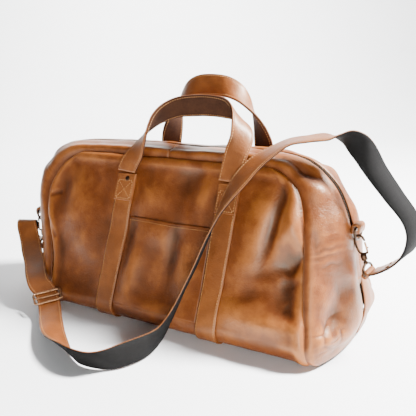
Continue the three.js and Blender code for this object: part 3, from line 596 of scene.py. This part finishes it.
# Swellings and hollows of the front panel: x, z, radii, height (mm), turn (degrees).
SOFT = [
    (222, 194, 19, 33, 12, 8), (196, 190, 11, 50, -8, -10), (234, 146, 24, 22, -13, 0), (236, 104, 26, 28, -11, 0),
    (205, 128, 46, 15, -5, 24), (166, 168, 26, 60, 6, -12), (222, 54, 46, 17, 8, 4), (150, 60, 34, 24, 5, 10),
    (236, 236, 12, 26, 4, 30), (180, 92, 34, 14, -4, 18), (248, 30, 20, 14, 3, 0),
    (-199, 186, 30, 44, 8, 0), (-216, 98, 30, 60, -7, 0), (-160, 150, 22, 70, 3, 0), (-236, 196, 16, 40, -4, 0),
    (-150, 60, 30, 44, -5, 0), (-190, 30, 50, 18, 4, 0),
    (-37, 204, 34, 30, 5, 0), (32, 240, 26, 26, -7, 0), (-45, 92, 18, 50, 8, -8), (26, 122, 15, 52, -8, 0),
    (62, 100, 18, 40, 4, 0), (-12, 156, 30, 20, 3, 0), (70, 226, 16, 30, 4, 0), (-66, 150, 12, 50, -4, 0),
    (0, 40, 60, 16, 4, 0), (-62, 246, 20, 20, -3, 0)]


def soft(x, z, side):
    """How far the front (-1) or rear (1) leather stands out from the plain panel, in mm: sag, hollows and folds."""
    p = np.stack([x / 80.0, np.full_like(x, side * 3.1), z / 70.0], -1)
    d = 6.0 * (noise(p, 3) - 0.5) + 2.4 * (noise(p * 2.3, 5) - 0.5)
    fine = np.stack([x / 15.0 + z / 40.0, np.full_like(x, side * 2.0), z / 26.0], -1)
    d = d + 0.5 * (noise(fine, 11) - 0.5) * noise(p * 1.9, 13)
    xx = x if side < 0 else 30 - x
    for cx, cz, rx, rz, height, turn in SOFT:
        d = d + swelling(xx, z, cx, cz, rx, rz, height, turn)
    d = d + fold(xx, z, (252, 168), (228, 128), 8, -2.4) + fold(xx, z, (258, 120), (222, 112), 9, -2.0)
    d = d + fold(xx, z, (262, 62), (236, 84), 9, -1.8) + fold(xx, z, (244, 214), (214, 170), 8, 1.6)
    d = d + fold(xx, z, (-262, 150), (-236, 118), 5, -1.8) + fold(xx, z, (-268, 190), (-244, 200), 5, -1.6)
    for sx in STRAP_X:
        near = np.exp(-((x - sx) / 34.0) ** 2 - ((z - 226) / 42.0) ** 2)
        d = d * (1 - 0.97 * near) * (1 - 0.5 * np.exp(-((x - sx) / 22.0) ** 2))
    return d * np.clip((z - 4) / 26.0, 0, 1)


def panel_points(d, x, side, lift):
    """Points of a layer that follows the soft panel, lift mm outside it."""
    y, z, ny, nz = profile_at(d)
    out = soft(x, z, side) + lift
    return np.stack([x, side * (y + ny * out), z + nz * out], -1)


def cavity(out):
    """Rubbed wear and painted shade: lighter on the proud folds as wear, darker in the hollows and creases as painted
    shade.
    """
    smooth = out.copy()
    for _ in range(6):
        smooth[1:-1, 1:-1] = (smooth[:-2, 1:-1] + smooth[2:, 1:-1] + smooth[1:-1, :-2] + smooth[1:-1, 2:]) / 4
    fine = (out - smooth) * 1.2
    return np.clip(fine + 0.03 * out, -0.7, 0.5)


def make_panel(side, name):
    rows, cols = 170, 210
    d = np.concatenate([np.linspace(0, 18, 20)[:-1], np.linspace(18, PANEL_L, rows - 19)])
    _, z, _, _ = profile_at(d)
    left, right_x = seam_x(z, -1), seam_x(z, 1)
    u = np.linspace(0, 1, cols)
    u = u - 0.018 * np.sin(2 * math.pi * u)
    x = left[:, None] + (right_x - left)[:, None] * u[None]
    dd = np.repeat(d[:, None], cols, 1)
    border = np.minimum(np.minimum(x - left[:, None], right_x[:, None] - x), dd)
    edge = -6.0 * np.exp(-(border / 4.4) ** 2) + 2.6 * np.exp(-((border - 14) / 9.0) ** 2)
    edge = edge * np.clip((PANEL_L - dd) / 20, 0, 1)
    zz = np.repeat(z[:, None], cols, 1)
    pts = panel_points(dd, x, side, edge)
    # Colour attribute: painted shade in the panel's hollows and seam dips, rubbed wear lighter on its proud folds.
    wear_and_shade = cavity(soft(x, zz, side) + edge)
    return grid(name, pts, tan, flip=side < 0, thickness=LEATHER, wear_and_shade=wear_and_shade)


for side, word in ((-1, "front"), (1, "rear")):
    attach(make_panel(side, f"{word}_leather"), "bag", f"{word}_panel")


def outline(t, line, axis):
    """x (0) or z (1) of the seam or crown line at t, 0..1 along it."""
    return np.interp(t * (len(dense) - 1), np.arange(len(dense)), line[:, axis])


def depth_at(t):
    """Half the bag's depth at t along the seam."""
    return half_depth(outline(t, seam_xz, 1))


def gusset_base(t, s):
    """t 0..1 along the outline, s -1..1 from the front seam over the zip line to the rear seam."""
    sx, sz, cx, cz = (outline(t, line, axis) for line in (seam_xz, crown_xz) for axis in (0, 1))
    f = 1 - np.abs(s) ** 2.6
    return np.stack([sx + (cx - sx) * f, s * half_depth(sz), sz + (cz - sz) * f], -1)


# Swellings and hollows of the gusset's front half: t, s, radii in t and s, height (mm).
SOFT_G = [
    (0.735, -0.60, 0.022, 0.20, -8), (0.775, -0.66, 0.022, 0.20, 8), (0.83, -0.50, 0.035, 0.22, 3),
    (0.872, -0.82, 0.026, 0.16, -4), (0.90, -0.55, 0.03, 0.20, -4), (0.925, -0.66, 0.018, 0.15, -7),
    (0.955, -0.80, 0.013, 0.14, 5), (0.962, -0.48, 0.016, 0.20, 4), (0.985, -0.66, 0.010, 0.10, -3),
    (0.855, -0.25, 0.05, 0.18, 4), (0.69, -0.4, 0.03, 0.25, 3), (0.94, -0.2, 0.05, 0.2, 3),
    (0.30, -0.55, 0.03, 0.25, 3), (0.335, -0.62, 0.018, 0.2, -3), (0.37, -0.5, 0.03, 0.25, 2.4),
    (0.20, -0.6, 0.04, 0.25, -4), (0.12, -0.55, 0.05, 0.3, 4), (0.05, -0.5, 0.03, 0.3, -3)]


def gusset_soft(t, s, p):
    """How far the gusset's leather stands out at t, s, where its plain point is p, in mm."""
    reach = np.abs(s)
    roll = 3.4 * np.exp(-((reach - 0.82) / 0.14) ** 2) * np.clip((p[..., 2] - 20) / 60, 0, 1)
    fade = np.clip((reach - 0.06) / 0.2, 0, 1)
    broad = np.stack([p[..., 0] / 60, p[..., 1] / 50, p[..., 2] / 60], -1)
    d = (6 * (noise(broad, 37) - 0.5) + 2.4 * (noise(broad * 2.4, 41) - 0.5)) * fade
    mirror = -reach                         # the rear half repeats the front half's forms,
    shift = np.where(s < 0, 0.0, 0.017)     # a little further along
    for ct, cs, rt, rs, height in SOFT_G:
        d = d + height * np.exp(-((t + shift - ct) / rt) ** 2 - ((mirror - cs) / rs) ** 2)
    ripple = np.exp(-((t - 0.853) / 0.018) ** 2 - ((mirror + 0.72) / 0.2) ** 2)
    ripple = ripple + 0.8 * np.exp(-((t - 0.968) / 0.016) ** 2 - ((mirror + 0.76) / 0.2) ** 2)
    ripple = ripple + 0.6 * np.exp(-((t - 0.33) / 0.03) ** 2 - ((mirror + 0.78) / 0.2) ** 2)
    wave = noise(np.stack([t * 330 + 3 * noise(broad * 3, 71), mirror * 3.0, t * 5], -1), 73) - 0.5
    d = d + 1.9 * wave * ripple
    knot = np.exp(-((t - 0.948) / 0.02) ** 2 - ((mirror + 0.72) / 0.16) ** 2)
    curl = ridged(np.stack([p[..., 0] / 20, p[..., 1] / 24, p[..., 2] / 20], -1), 47)
    d = d - 3.6 * curl * knot
    return (d * np.clip((1 - reach) / 0.12, 0, 1) + roll) * np.clip((p[..., 2] - 4) / 24, 0, 1)


def make_gusset(side, t0, t1, name, columns):
    v = np.linspace(0, 1, 60)
    v = 1 - (1 - v) ** 1.35
    t = np.linspace(t0, t1, columns)
    T = np.repeat(t[None], len(v), 0)
    depth = depth_at(T)
    S = side * (ZIP_GAP + (depth * 0.998 - ZIP_GAP) * v[:, None]) / depth
    p = gusset_base(T, S)
    e = 1e-3
    along = gusset_base(np.minimum(T + e, 1), S) - gusset_base(np.maximum(T - e, 0), S)
    inward = gusset_base(T, S * 0.996) - p
    normal = unit(np.cross(along, inward))
    centre = np.array([0, 0, 120.0])
    normal = normal * np.sign(np.sum(normal * (p - centre), -1, keepdims=True))
    gap = depth * (1 - np.abs(S))
    rim = -6.5 * np.exp(-(gap / 4.2) ** 2)
    zipside = -0.8 * np.exp(-((np.abs(S) * depth - ZIP_GAP) / 2.5) ** 2)
    out = gusset_soft(T, S, p) + rim + zipside
    pts = p + normal * out[..., None]
    pts[..., 2] = np.maximum(pts[..., 2], 3.6)
    # Colour attribute: painted shade in the gusset's hollows and creases, rubbed wear lighter on its folds.
    return grid(name, pts, tan, flip=side > 0, thickness=LEATHER, wear_and_shade=cavity(out - rim * 0.4)), pts, normal


gussets = {}
for side, word in ((-1, "front"), (1, "rear")):
    for end, t0, t1, n in (("left", 0.0, 0.5745, 330), ("right", 0.5752, 1.0, 270)):
        obj, pts, nrm = make_gusset(side, t0, t1, f"{end}_gusset_{word}_leather", n)
        attach(obj, "bag", f"{end}_gusset_{word}")
        gussets[end, word] = (pts, nrm)

# Cross seam at the top middle: a folded strip over the join.
for side, word in ((-1, "front"), (1, "rear")):
    pts, nrm = gussets["left", word]
    line, ln = pts[:, -1], nrm[:, -1]
    a = np.stack([line + ln * 0.9 + np.array([dx, 0, 0]) for dx in (-4, -1.5, 1.5, 4)])
    a[[0, 3]] -= ln
    attach(grid(f"cross_seam_{word}", a[:, :-4], strap_tan, flip=side < 0, thickness=0.8), "bag")

# Base.
v = np.linspace(-1, 1, 60)
u = np.linspace(0, 1, 90)
yy = v * 95.3
f = 1 - np.abs(yy / float(half_depth(6))) ** 2.6
lx = SEAM[0][0] + (CROWN[0][0] - SEAM[0][0]) * f + 4
rx = SEAM[-1][0] + (CROWN[-1][0] - SEAM[-1][0]) * f - 4
bx = lx[:, None] + (rx - lx)[:, None] * u[None]
by = np.repeat(yy[:, None], len(u), 1)
bz = BASE_Z + 0.9 * noise(np.stack([bx / 50, by / 50, by * 0], -1), 3)
# The base wears the shaded copy of the tan: painted shade under the bag.
attach(grid("base_leather", np.stack([bx, by, bz], -1), shaded_base_tan, flip=True, thickness=2.4), "bag", "base_panel")

# Stitching on each gusset half, beside the zip.
body_thread = Stitches("body_stitching", thread, "bag", 2.8, 4.2, 0.5)
for pts, nrm in gussets.values():
    body_thread.line(pts[3] + nrm[3] * 0.1, nrm[3])

# ---- zip
def zip_strip(y0, y1, lift, n=500, t0=0.004, t1=0.996):
    """A strip along the zip line from y0 to y1 across it: points, normals, and the way along."""
    t = np.linspace(t0, t1, n)
    pts = np.array([gusset_base(t, y / depth_at(t)) for y in np.linspace(y0, y1, 4)])
    t3 = unit(np.gradient(pts[0], axis=0))
    normal = unit(np.stack([-t3[:, 2], np.zeros(n), t3[:, 0]], 1))
    return pts + normal[None] * lift, normal, t3


for side, word in ((-1, "front"), (1, "rear")):
    pts, normal, _ = zip_strip(side * 0.35, side * 8.6, -0.9)
    attach(grid(f"zip_cloth_{word}", pts, tape, flip=side < 0, thickness=1.0), "bag", f"zip_tape_{word}")
line, normal, along = zip_strip(0, 0.001, 0.0, 900, 0.175, 0.825)
line = line[0]
run = run_of(line)
TOOTH_PITCH = 2.3
count = int(run[-1] / TOOTH_PITCH)
teeth = []
cube = np.array([(x, y, z) for x in (-0.62, 0.62) for y in (-1, 1) for z in (-1, 1)], float)
cube_faces = [(0, 1, 3, 2), (4, 6, 7, 5), (0, 4, 5, 1), (2, 3, 7, 6), (0, 2, 6, 4), (1, 5, 7, 3)]
for i in range(count):
    at = (i + 0.5) * run[-1] / count
    c, nn, tt = rows_at(at, run, line), unit(rows_at(at, run, normal)), unit(rows_at(at, run, along))
    side = 1 if i % 2 else -1
    shape = cube * np.array([1, 1.7, 0.9]) + np.array([0, side * 0.75, 0.9])
    teeth.append((c + shape[:, :1] * tt + shape[:, 1:2] * np.array([0, 1, 0]) + shape[:, 2:] * nn, cube_faces))
attach(new_object("zip_teeth", *join(teeth), tooth_metal, smooth=False), "bag", "zip_chain")


# ---- straps on the body
base_thread = Stitches("base_strap_stitching", thread, "bag")
for word, sx in (("left", STRAP_X[0]), ("right", STRAP_X[1])):
    d0 = (TOP - (PATCH_HIGH - 2)) / (TOP - TURN_TOP) * LEAN_L
    ds = np.concatenate([np.linspace(d0, LEAN_L, 70), np.linspace(LEAN_L, PANEL_L, 34)[1:]])
    columns = np.linspace(-19, 19, 13)
    crown = 0.5 * np.cos(columns / 19 * math.pi / 2) - 0.7 * (np.abs(columns) > 18)
    halves = []
    for side in (-1, 1):
        x = sx + np.repeat(columns[None], len(ds), 0)
        dd = np.repeat(ds[:, None], len(columns), 1)
        under_base = np.clip((dd - LEAN_L) / 30, 0, 1)
        pts = panel_points(dd, x, side, 3.2 + crown[None] * (1 - under_base))
        pts[..., 2] = np.maximum(pts[..., 2], 0.0)
        halves.append(pts)
    middle = np.linspace(-94, 94, 30)
    flat = np.stack([np.repeat((sx + columns)[None], 30, 0), np.repeat(middle[:, None], len(columns), 1),
                     np.full((30, len(columns)), 0.0)], -1)
    whole = np.concatenate([halves[0], flat, halves[1][::-1]], 0)
    attach(grid(f"base_strap_{word}_leather", whole, strap_tan, flip=True, thickness=2.6),
           "bag", f"base_strap_{word}")
    nrm = unit(np.cross(np.gradient(whole, axis=1), np.gradient(whole, axis=0)))
    if nrm[5, 6, 1] > 0:
        nrm = -nrm
    for k in (1, len(columns) - 2):
        base_thread.line(whole[12:, k] + nrm[12:, k] * 0.15, nrm[12:, k])
base_thread.make()

# Sewn handle ends: leather patch, box-and-cross stitching, rivet.
patch_thread = Stitches("patch_stitching", thread, "bag", 2.9, 4.0, 0.7)
slope = math.hypot(1, LEAN)
half_w = 19.4
for side, depth_word in ((-1, "front"), (1, "rear")):
    out = np.array([0, side, LEAN]) / slope
    upv = np.array([0, -side * LEAN, 1]) / slope
    rightv = np.cross(upv, out)
    for word, sx in (("left", STRAP_X[0]), ("right", STRAP_X[1])):
        zc = (PATCH_LOW + PATCH_HIGH) / 2
        centre = np.array([sx, side * (HALF0 - LEAN * zc), zc]) + out * 3.9
        h = (PATCH_HIGH - PATCH_LOW) * slope / 2 - 0.5
        rows = []
        for b in h * np.sin(np.linspace(-math.pi / 2, math.pi / 2, 34)):
            row = []
            for a in half_w * np.sin(np.linspace(-math.pi / 2, math.pi / 2, 30)):
                rim = min(half_w - abs(a), h - abs(b))
                bump = 2.7 - 3.4 * math.exp(-(rim / 0.55) ** 2) - 0.35 * math.exp(-((rim - 3.2) / 1.0) ** 2)
                row.append(centre + rightv * a + upv * b + out * bump)
            rows.append(row)
        attach(grid(f"handle_patch_{depth_word}_{word}", np.array(rows), strap_tan, thickness=LEATHER),
               "bag", f"handle_end_{depth_word}_{word}")
        a, b = 15.6, h - 3.6
        corners = [(-a, -b), (a, -b), (a, b - 9), (-a, b - 9), (-a, -b)]
        top = centre + out * 2.5
        lines = list(zip(corners[:-1], corners[1:])) + [((-a, -b), (a, b - 9)), ((a, -b), (-a, b - 9))]
        for ends in lines:
            p, q = (top + rightv * across + upv * high for across, high in ends)
            seg = np.array([p + (q - p) * k for k in np.linspace(0.03, 0.97, 12)])
            patch_thread.line(seg, np.repeat(out[None], 12, 0))
        rivet_z = PATCH_HIGH - 9
        # The rear rivets sit lower: the rear handle swings down past them.
        rivet_at = np.array([sx + 3, side * (HALF0 - LEAN * rivet_z), rivet_z]) + out * (6.4 if side < 0 else 5.9)
        cap = lathe([(0.4, -0.9), (4.4, -0.9), (4.6, -0.2), (4.2, 0.7), (3.0, 1.3), (1.6, 1.55), (0.3, 1.6)], 20)
        placed(f"rivet_{depth_word}_{word}", cap, frame_matrix(rightv, upv, out, rivet_at), dark_metal,
               "bag", f"handle_rivet_{depth_word}_{word}")
patch_thread.make()

# Front slip pocket, following the panel's own softness.
POCKET_X, POCKET_HALF, POCKET_LOW, POCKET_HIGH = 10, 83.0, 34, 175
cols, rows = 70, 70
x = np.repeat(np.linspace(POCKET_X - POCKET_HALF, POCKET_X + POCKET_HALF, cols)[None], rows, 0)
z = np.repeat(np.linspace(POCKET_LOW, POCKET_HIGH, rows)[:, None], cols, 1)
dip = -2.2 * np.exp(-((x - 20) / 46) ** 2) * np.clip((z - 160) / 15, 0, 1)
z = z + dip
dd = (TOP - z) / (TOP - TURN_TOP) * LEAN_L
below = POCKET_HIGH - z
rim = -1.0 * np.exp(-(below / 1.2) ** 2) - 0.5 * np.exp(-((below - 4) / 1.2) ** 2)
lift = 1.4 + 1.6 * np.clip((z - 120) / 55, 0, 1) * np.cos((x - POCKET_X) / POCKET_HALF * math.pi / 2) + rim
pts = panel_points(dd, x, -1, lift)
# Colour attribute: painted shade in the pocket's hollows, rubbed wear lighter on its folds and along its mouth.
attach(grid("slip_pocket", pts, tan, thickness=1.3, wear_and_shade=cavity(soft(x, z, -1)) + 0.1 * (below < 3)),
       "bag", "front_pocket")
k = rows - 4
pn = np.repeat(np.array([[0, -1, LEAN]]) / slope, cols, 0)
body_thread.line(pts[k] + pn * 0.3, pn)
body_thread.make()

# ---- handles
# x, y, z, and the turn of the strap about its run, in degrees.
FRONT = [
    (-92.5, -66.5, 248, 0), (-91.8, -65.3, 254, 0), (-87, -62, 265, 2), (-79, -59, 277, 10), (-71, -52, 297, 34),
    (-62, -40, 321, 62), (-53, -29, 337, 88), (-39, -18, 349, 115), (-19, -9, 357, 138), (6, -5, 360, 150),
    (38, -4, 361, 150), (70, -6, 358, 142), (92, -13, 352, 118), (108, -24, 342, 90), (118, -35, 329, 62),
    (122, -44, 313, 35), (119, -54, 293, 12), (115, -61, 270, 2), (112.8, -65.3, 254, 0), (112.5, -66.5, 248, 0)]
REAR = [
    (-92.5, 66.5, 248, 0), (-92, 65.3, 254, 0), (-88.5, 61.5, 265, 2), (-82, 56, 280, 12), (-75, 50, 300, 34),
    (-66, 44, 325, 62), (-57, 39, 349, 88), (-42, 36, 372, 115), (-22, 35, 387, 138), (-2, 35, 393, 150),
    (20, 35, 394, 150), (44, 35, 392, 142), (65, 36, 385, 118), (83, 38, 371, 90), (97, 43, 350, 62),
    (107, 49, 325, 35), (112, 55, 298, 12), (113, 61, 272, 2), (112.7, 65.3, 254, 0), (112.5, 66.5, 248, 0)]
for name, data, side in (("front_handle", FRONT, -1), ("rear_handle", REAR, 1)):
    c = np.array([q[:3] for q in data], float)
    turn = np.radians([q[3] for q in data]) * (1 if side < 0 else -1)
    out = unit(np.array([0, side, 0.25]))
    along = unit(np.gradient(c, axis=0))
    face = unit(out - np.sum(along * out, 1, keepdims=True) * along)
    across = np.cross(along, face)
    w = across * np.cos(turn)[:, None] + face * np.sin(turn)[:, None]
    fc, fa, fw, fh, frun = ribbon_frames(c, w, 150)
    fh = fh * (1 if np.dot(fh[0], out) > 0 else -1)
    frames = (fc, fa, fw, fh, frun)
    outer = strip(f"{name}_leather", frames, slab(19, 0.05, 2.3, 0.5), strap_tan, name)
    strip(f"{name}_backing", frames, slab(18.7, -2.2, -0.05, 0.0, 0.6), back_suede, name)
    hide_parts(name)
    sewn = Stitches(f"{name}_stitching", thread, name)
    for k in (-1, 1):
        sewn.line(fc + fw * k * 15.8 + fh * 2.1, fh)
        sewn.line(fc + fw * k * 15.8 - fh * 2.15, -fh)
    sewn.make()


# ---- end anchors and hooks
def anchor(name, t, y, t_from, t_to, tilt, stand_off, side):
    """One end's tab, loop, ring, hook, gate, eye and strap fold; tilt is how far the hook hangs out, in degrees."""
    def on_gusset(t, y):
        return gusset_base(np.array([t]), np.array([y / float(depth_at(t))]))[0]

    at = on_gusset(t, y)
    tangent = on_gusset(t, y + 1) - on_gusset(t, y - 1)
    tangent[2] = 0
    tangent = unit(tangent)
    out = np.array([side * tangent[1], -side * tangent[0], 0])
    origin = at + out * (0.35 + 2.4 + 0.35 + 6.2 + stand_off)
    m4 = frame_matrix(np.cross(out, [0, 0, 1]), out, (0, 0, 1), origin)
    # tab
    rows, cols = 40, 22
    T = np.linspace(t_from, t_to, rows)
    pts, nrms = np.empty((rows, cols, 3)), np.empty((rows, cols, 3))
    for i, tt in enumerate(T):
        depth = float(depth_at(tt))
        g = i / (rows - 1)
        width = 15.5 * min(1.0, math.sqrt(max(1 - (1 - min(g / 0.22, 1)) ** 2, 0.0)) + 0.02)
        for j, q in enumerate(np.linspace(-1, 1, cols)):
            s = (y + q * width) / depth
            p = gusset_base(np.array([tt]), np.array([s]))[0]
            p2 = gusset_base(np.array([tt + 0.002]), np.array([s]))[0]
            p3 = gusset_base(np.array([tt]), np.array([s + 0.01]))[0]
            nn = unit(np.cross(p2 - p, p3 - p))
            nn = nn * np.sign(np.dot(nn, out))
            rim = min(width * (1 - abs(q)), 60 * g)
            pts[i, j] = p + nn * (3.6 - 1.4 * math.exp(-(rim / 1.2) ** 2) - 0.5 * math.exp(-((rim - 3.4) / 1.0) ** 2))
            nrms[i, j] = nn
    order = np.cross(pts[1, 12] - pts[0, 12], pts[5, 13] - pts[5, 12])
    attach(grid(f"{name}_tab_leather", pts, strap_tan, flip=bool(np.dot(order, out) > 0), thickness=LEATHER),
           "bag", f"{name}_anchor_tab")
    sewn = Stitches(f"{name}_tab_stitching", thread, "bag", 2.6, 3.9, 0.55)
    for j in (3, cols - 4):
        sewn.line(pts[7:, j] + nrms[7:, j] * 0.3, nrms[7:, j])
    sewn.line(pts[6, 3:-3] + nrms[6, 3:-3] * 0.3, nrms[6, 3:-3])
    sewn.make()
    # folded loop round the ring's bar: an open fold that runs down on to the tab
    wide = np.linspace(-13.4, 13.4, 14)
    section = [(3.6, -8.5), (5.6, -8.2), (6.7, -4), (6.8, 1), (4.8, 5.2), (1.2, 6.9), (-2.6, 6.6), (-6.4, 4.6),
               (-8.2, 1.5), (-8.6, -4), (-8.2, -9), (-6.4, -11), (-4.6, -9), (-3.4, -4), (-3.0, 0), (-1.6, 2.6),
               (0.8, 3.0), (2.8, 1.4), (3.0, -3)]
    section = spline(section, np.linspace(0, 1, 48, endpoint=False), True, True)
    puff = 1 - 0.10 * (np.abs(wide) / 13.4) ** 6
    tubes = np.array([[(wv, b * pf, c * pf) for b, c in section] for wv, pf in zip(wide, puff)])
    placed(f"{name}_loop_leather", sweep(tubes), m4, strap_tan, "bag", f"{name}_anchor_loop")
    # D-ring
    d_points = [(-16, 0, 0), (-8, 0, 0), (0, 0, 0), (8, 0, 0), (16, 0, 0), (18.6, 0, -3), (17.4, 0, -10), (10, 0, -17.4),
                (0, 0, -20), (-10, 0, -17.4), (-17.4, 0, -10), (-18.6, 0, -3)]
    placed(f"{name}_ring", tube(d_points, 1.9, 72, 12, True), m4, dark_metal, f"{name}_d_ring", f"{name}_d_ring")
    # hook, gate, post and eye
    place = m4 @ np.array(Matrix.Translation((0, 0, -18)) @ Matrix.Rotation(math.radians(tilt), 4, "X")
                          @ Matrix.Translation((0, 0, 18)))
    claw = [(0, 0, -44), (0, -3.9, -41), (0, -5.9, -35), (0, -6.2, -23), (0, -4.3, -17), (0, 1.2, -14.2), (0, 6, -17),
            (0, 7.9, -22), (0, 8, -25)]
    body = tube(claw, 1.9, 44, 12, taper=1 - 0.18 * np.clip((np.linspace(0, 1, 44) - 0.8) / 0.2, 0, 1))
    barrel = lathe([(3.0, -54), (4.6, -53.8), (5.1, -52.6), (4.4, -51.6), (4.9, -50.6), (5.0, -46.6), (4.4, -44.6),
                    (3.0, -42.8), (1.6, -42.0)], 24)
    foot = tube([(0, 1.5, -44), (0, 4, -43.8), (0, 6.4, -43.4), (0, 8.2, -42.4)], 1.9, 12, 10)
    placed(f"{name}_snap_hook", join([body, barrel, foot]), place, dark_metal, f"{name}_hook", f"{name}_hook")
    gate = tube([(0, 8, -41.6), (0, 8, -37), (0, 8, -31), (0, 8, -26.8)], 1.55, 16, 12)
    knob = tube([(0, 9.2, -35.6), (0, 10.6, -35.6), (0, 11.2, -35.6)], 1.0, 6, 10)
    placed(f"{name}_spring_gate", join([gate, knob]), place, copper, f"{name}_gate", f"{name}_gate")
    eye_points = [(-19, 0, -74), (-9, 0, -74), (9, 0, -74), (19, 0, -74), (21.5, 0, -71), (19, 0, -65.5), (9, 0, -60.8),
                  (0, 0, -59.5), (-9, 0, -60.8), (-19, 0, -65.5), (-21.5, 0, -71)]
    eye = join([tube(eye_points, 2.0, 72, 12, True),
                lathe([(1.6, -61.5), (3.4, -60.4), (3.5, -56.4), (2.2, -54.8), (2.0, -52.0), (1.0, -50.2)], 20)])
    placed(f"{name}_eye", eye, place, dark_metal, "bag", f"{name}_strap_eye")
    # the strap's end, folded round the eye
    cols = np.linspace(-18.6, 18.6, 12)
    radii = [5.2] + [5.7] * 10 + [5.2]
    rolled = np.array([[(cx, r * math.cos(a), -74 + r * math.sin(a)) for a in circle(28)]
                       for cx, r in zip(cols, radii)])
    placed(f"{name}_fold_leather", sweep(rolled), place, strap_tan, "bag", f"{name}_strap_fold")


anchor("left", 0.164, -42, 0.098, 0.158, tilt=0, stand_off=1.2, side=-1)
anchor("right", 0.83, -5, 0.9, 0.838, tilt=20, stand_off=6.2, side=1)

# Rivets at the strap's two ends.
cap = lathe([(0.3, -0.6), (3.6, -0.6), (3.7, 0.0), (3.0, 0.8), (1.4, 1.2), (0.2, 1.25)], 16)
for word, at in (("right", 9), ("left", -8)):
    for k in (-9, 9):
        for face in (1, -1):
            out = sh[at] * face
            m4 = frame_matrix(sw[at], np.cross(out, sw[at]), out, sc[at] + sw[at] * k + out * 1.9)
            placed(f"strap_rivet_{word}_{k + 9}_{face + 1}", cap, m4, copper, "bag")

# ---- inside
for side, word in ((-1, "front"), (1, "rear")):
    d = np.linspace(14, PANEL_L - 14, 50)
    _, z, _, _ = profile_at(d)
    left, right_x = seam_x(z, -1) + 14, seam_x(z, 1) - 14
    x = left[:, None] + (right_x - left)[:, None] * np.linspace(0, 1, 50)[None]
    dd = np.repeat(d[:, None], 50, 1)
    pts = panel_points(dd, x, side, -4.0)
    attach(grid(f"lining_{word}_cotton", pts, cotton, flip=side < 0, thickness=0.8), "bag", f"lining_{word}")
x = np.repeat(np.linspace(-110, 120, 50)[None], 40, 0)
z = np.repeat(np.linspace(110, 215, 40)[:, None], 50, 1)
y = HALF0 - LEAN * z - 6.4 - 3.5 * noise(np.stack([x / 40, z / 40, z * 0], -1), 51)
attach(grid("inner_pocket_cotton", np.stack([x, y, z], -1), cotton, thickness=0.8), "bag", "inner_pocket")


def refinish(node, material, bevel):
    """A kept CAD node gets its material and a fine bevel, in metres."""
    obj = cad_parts[node]
    obj.data.materials.clear()
    obj.data.materials.append(material)
    edge = obj.modifiers.new("edge", "BEVEL")
    edge.width = bevel
    edge.segments = 2
    edge.limit_method = "ANGLE"


refinish("base_board", stiffener, 0.0006)
refinish("zip_slider", copper, 0.0005)
refinish("zip_pull", copper, 0.0004)

# ---- floor and light
profile_x = np.concatenate([np.linspace(-7, 2.2, 12), 2.2 + 2.0 * np.sin(np.linspace(0.1, math.pi / 2, 14)), [4.2]])
profile_z = np.concatenate([np.zeros(12), 2.0 - 2.0 * np.cos(np.linspace(0.1, math.pi / 2, 14)), [6.0]])
sweep_dir = np.array([-math.sin(AZIMUTH), math.cos(AZIMUTH)])
side_dir = np.array([math.cos(AZIMUTH), math.sin(AZIMUTH)])
FLOOR_GAP = 0.0006      # the floor lies just under the part's own lowest level
backdrop = []
for px_, pz_ in zip(profile_x, profile_z):
    for q in (-9, 9):
        place = sweep_dir * px_ + side_dir * q
        backdrop.append((place[0], place[1], pz_ - FLOOR_GAP))
floor_mesh = bpy.data.meshes.new("floor")
floor_mesh.from_pydata(backdrop, [], [(2 * i, 2 * i + 1, 2 * i + 3, 2 * i + 2) for i in range(len(profile_x) - 1)])
floor_mesh.polygons.foreach_set("use_smooth", [True] * len(floor_mesh.polygons))
n = Nodes("floor_paper")
n.link(n.ramp(n.noise(3, 3), [(0.3, (0.90, 0.905, 0.91)), (0.7, (0.92, 0.925, 0.93))]), n.shader.inputs["Base Color"])
n.set(Roughness=0.7)
floor_mesh.materials.append(n.material)
floor = bpy.data.objects.new("floor", floor_mesh)
bpy.context.scene.collection.objects.link(floor)

world = bpy.data.worlds.new("studio")
world.use_nodes = True
world.node_tree.nodes["Background"].inputs[0].default_value = (0.96, 0.98, 1.0, 1)
world.node_tree.nodes["Background"].inputs[1].default_value = 0.12
bpy.context.scene.world = world


def area(name, place, aim, size, energy):
    light = bpy.data.lights.new(name, "AREA")
    light.energy = energy
    light.size = size
    obj = bpy.data.objects.new(name, light)
    obj.location = place
    obj.rotation_euler = (Vector(aim) - Vector(place)).to_track_quat("-Z", "Y").to_euler()
    bpy.context.scene.collection.objects.link(obj)


area("key", (1.35, 0.80, 1.9), (0, 0, 0.08), 0.5, 520)
area("front_fill", (1.35, -1.75, 0.42), (0, 0, 0.15), 0.7, 46)
area("backdrop_light", (-1.2, 1.2, 2.6), (-2.2, 4.0, 0.6), 2.0, 420)
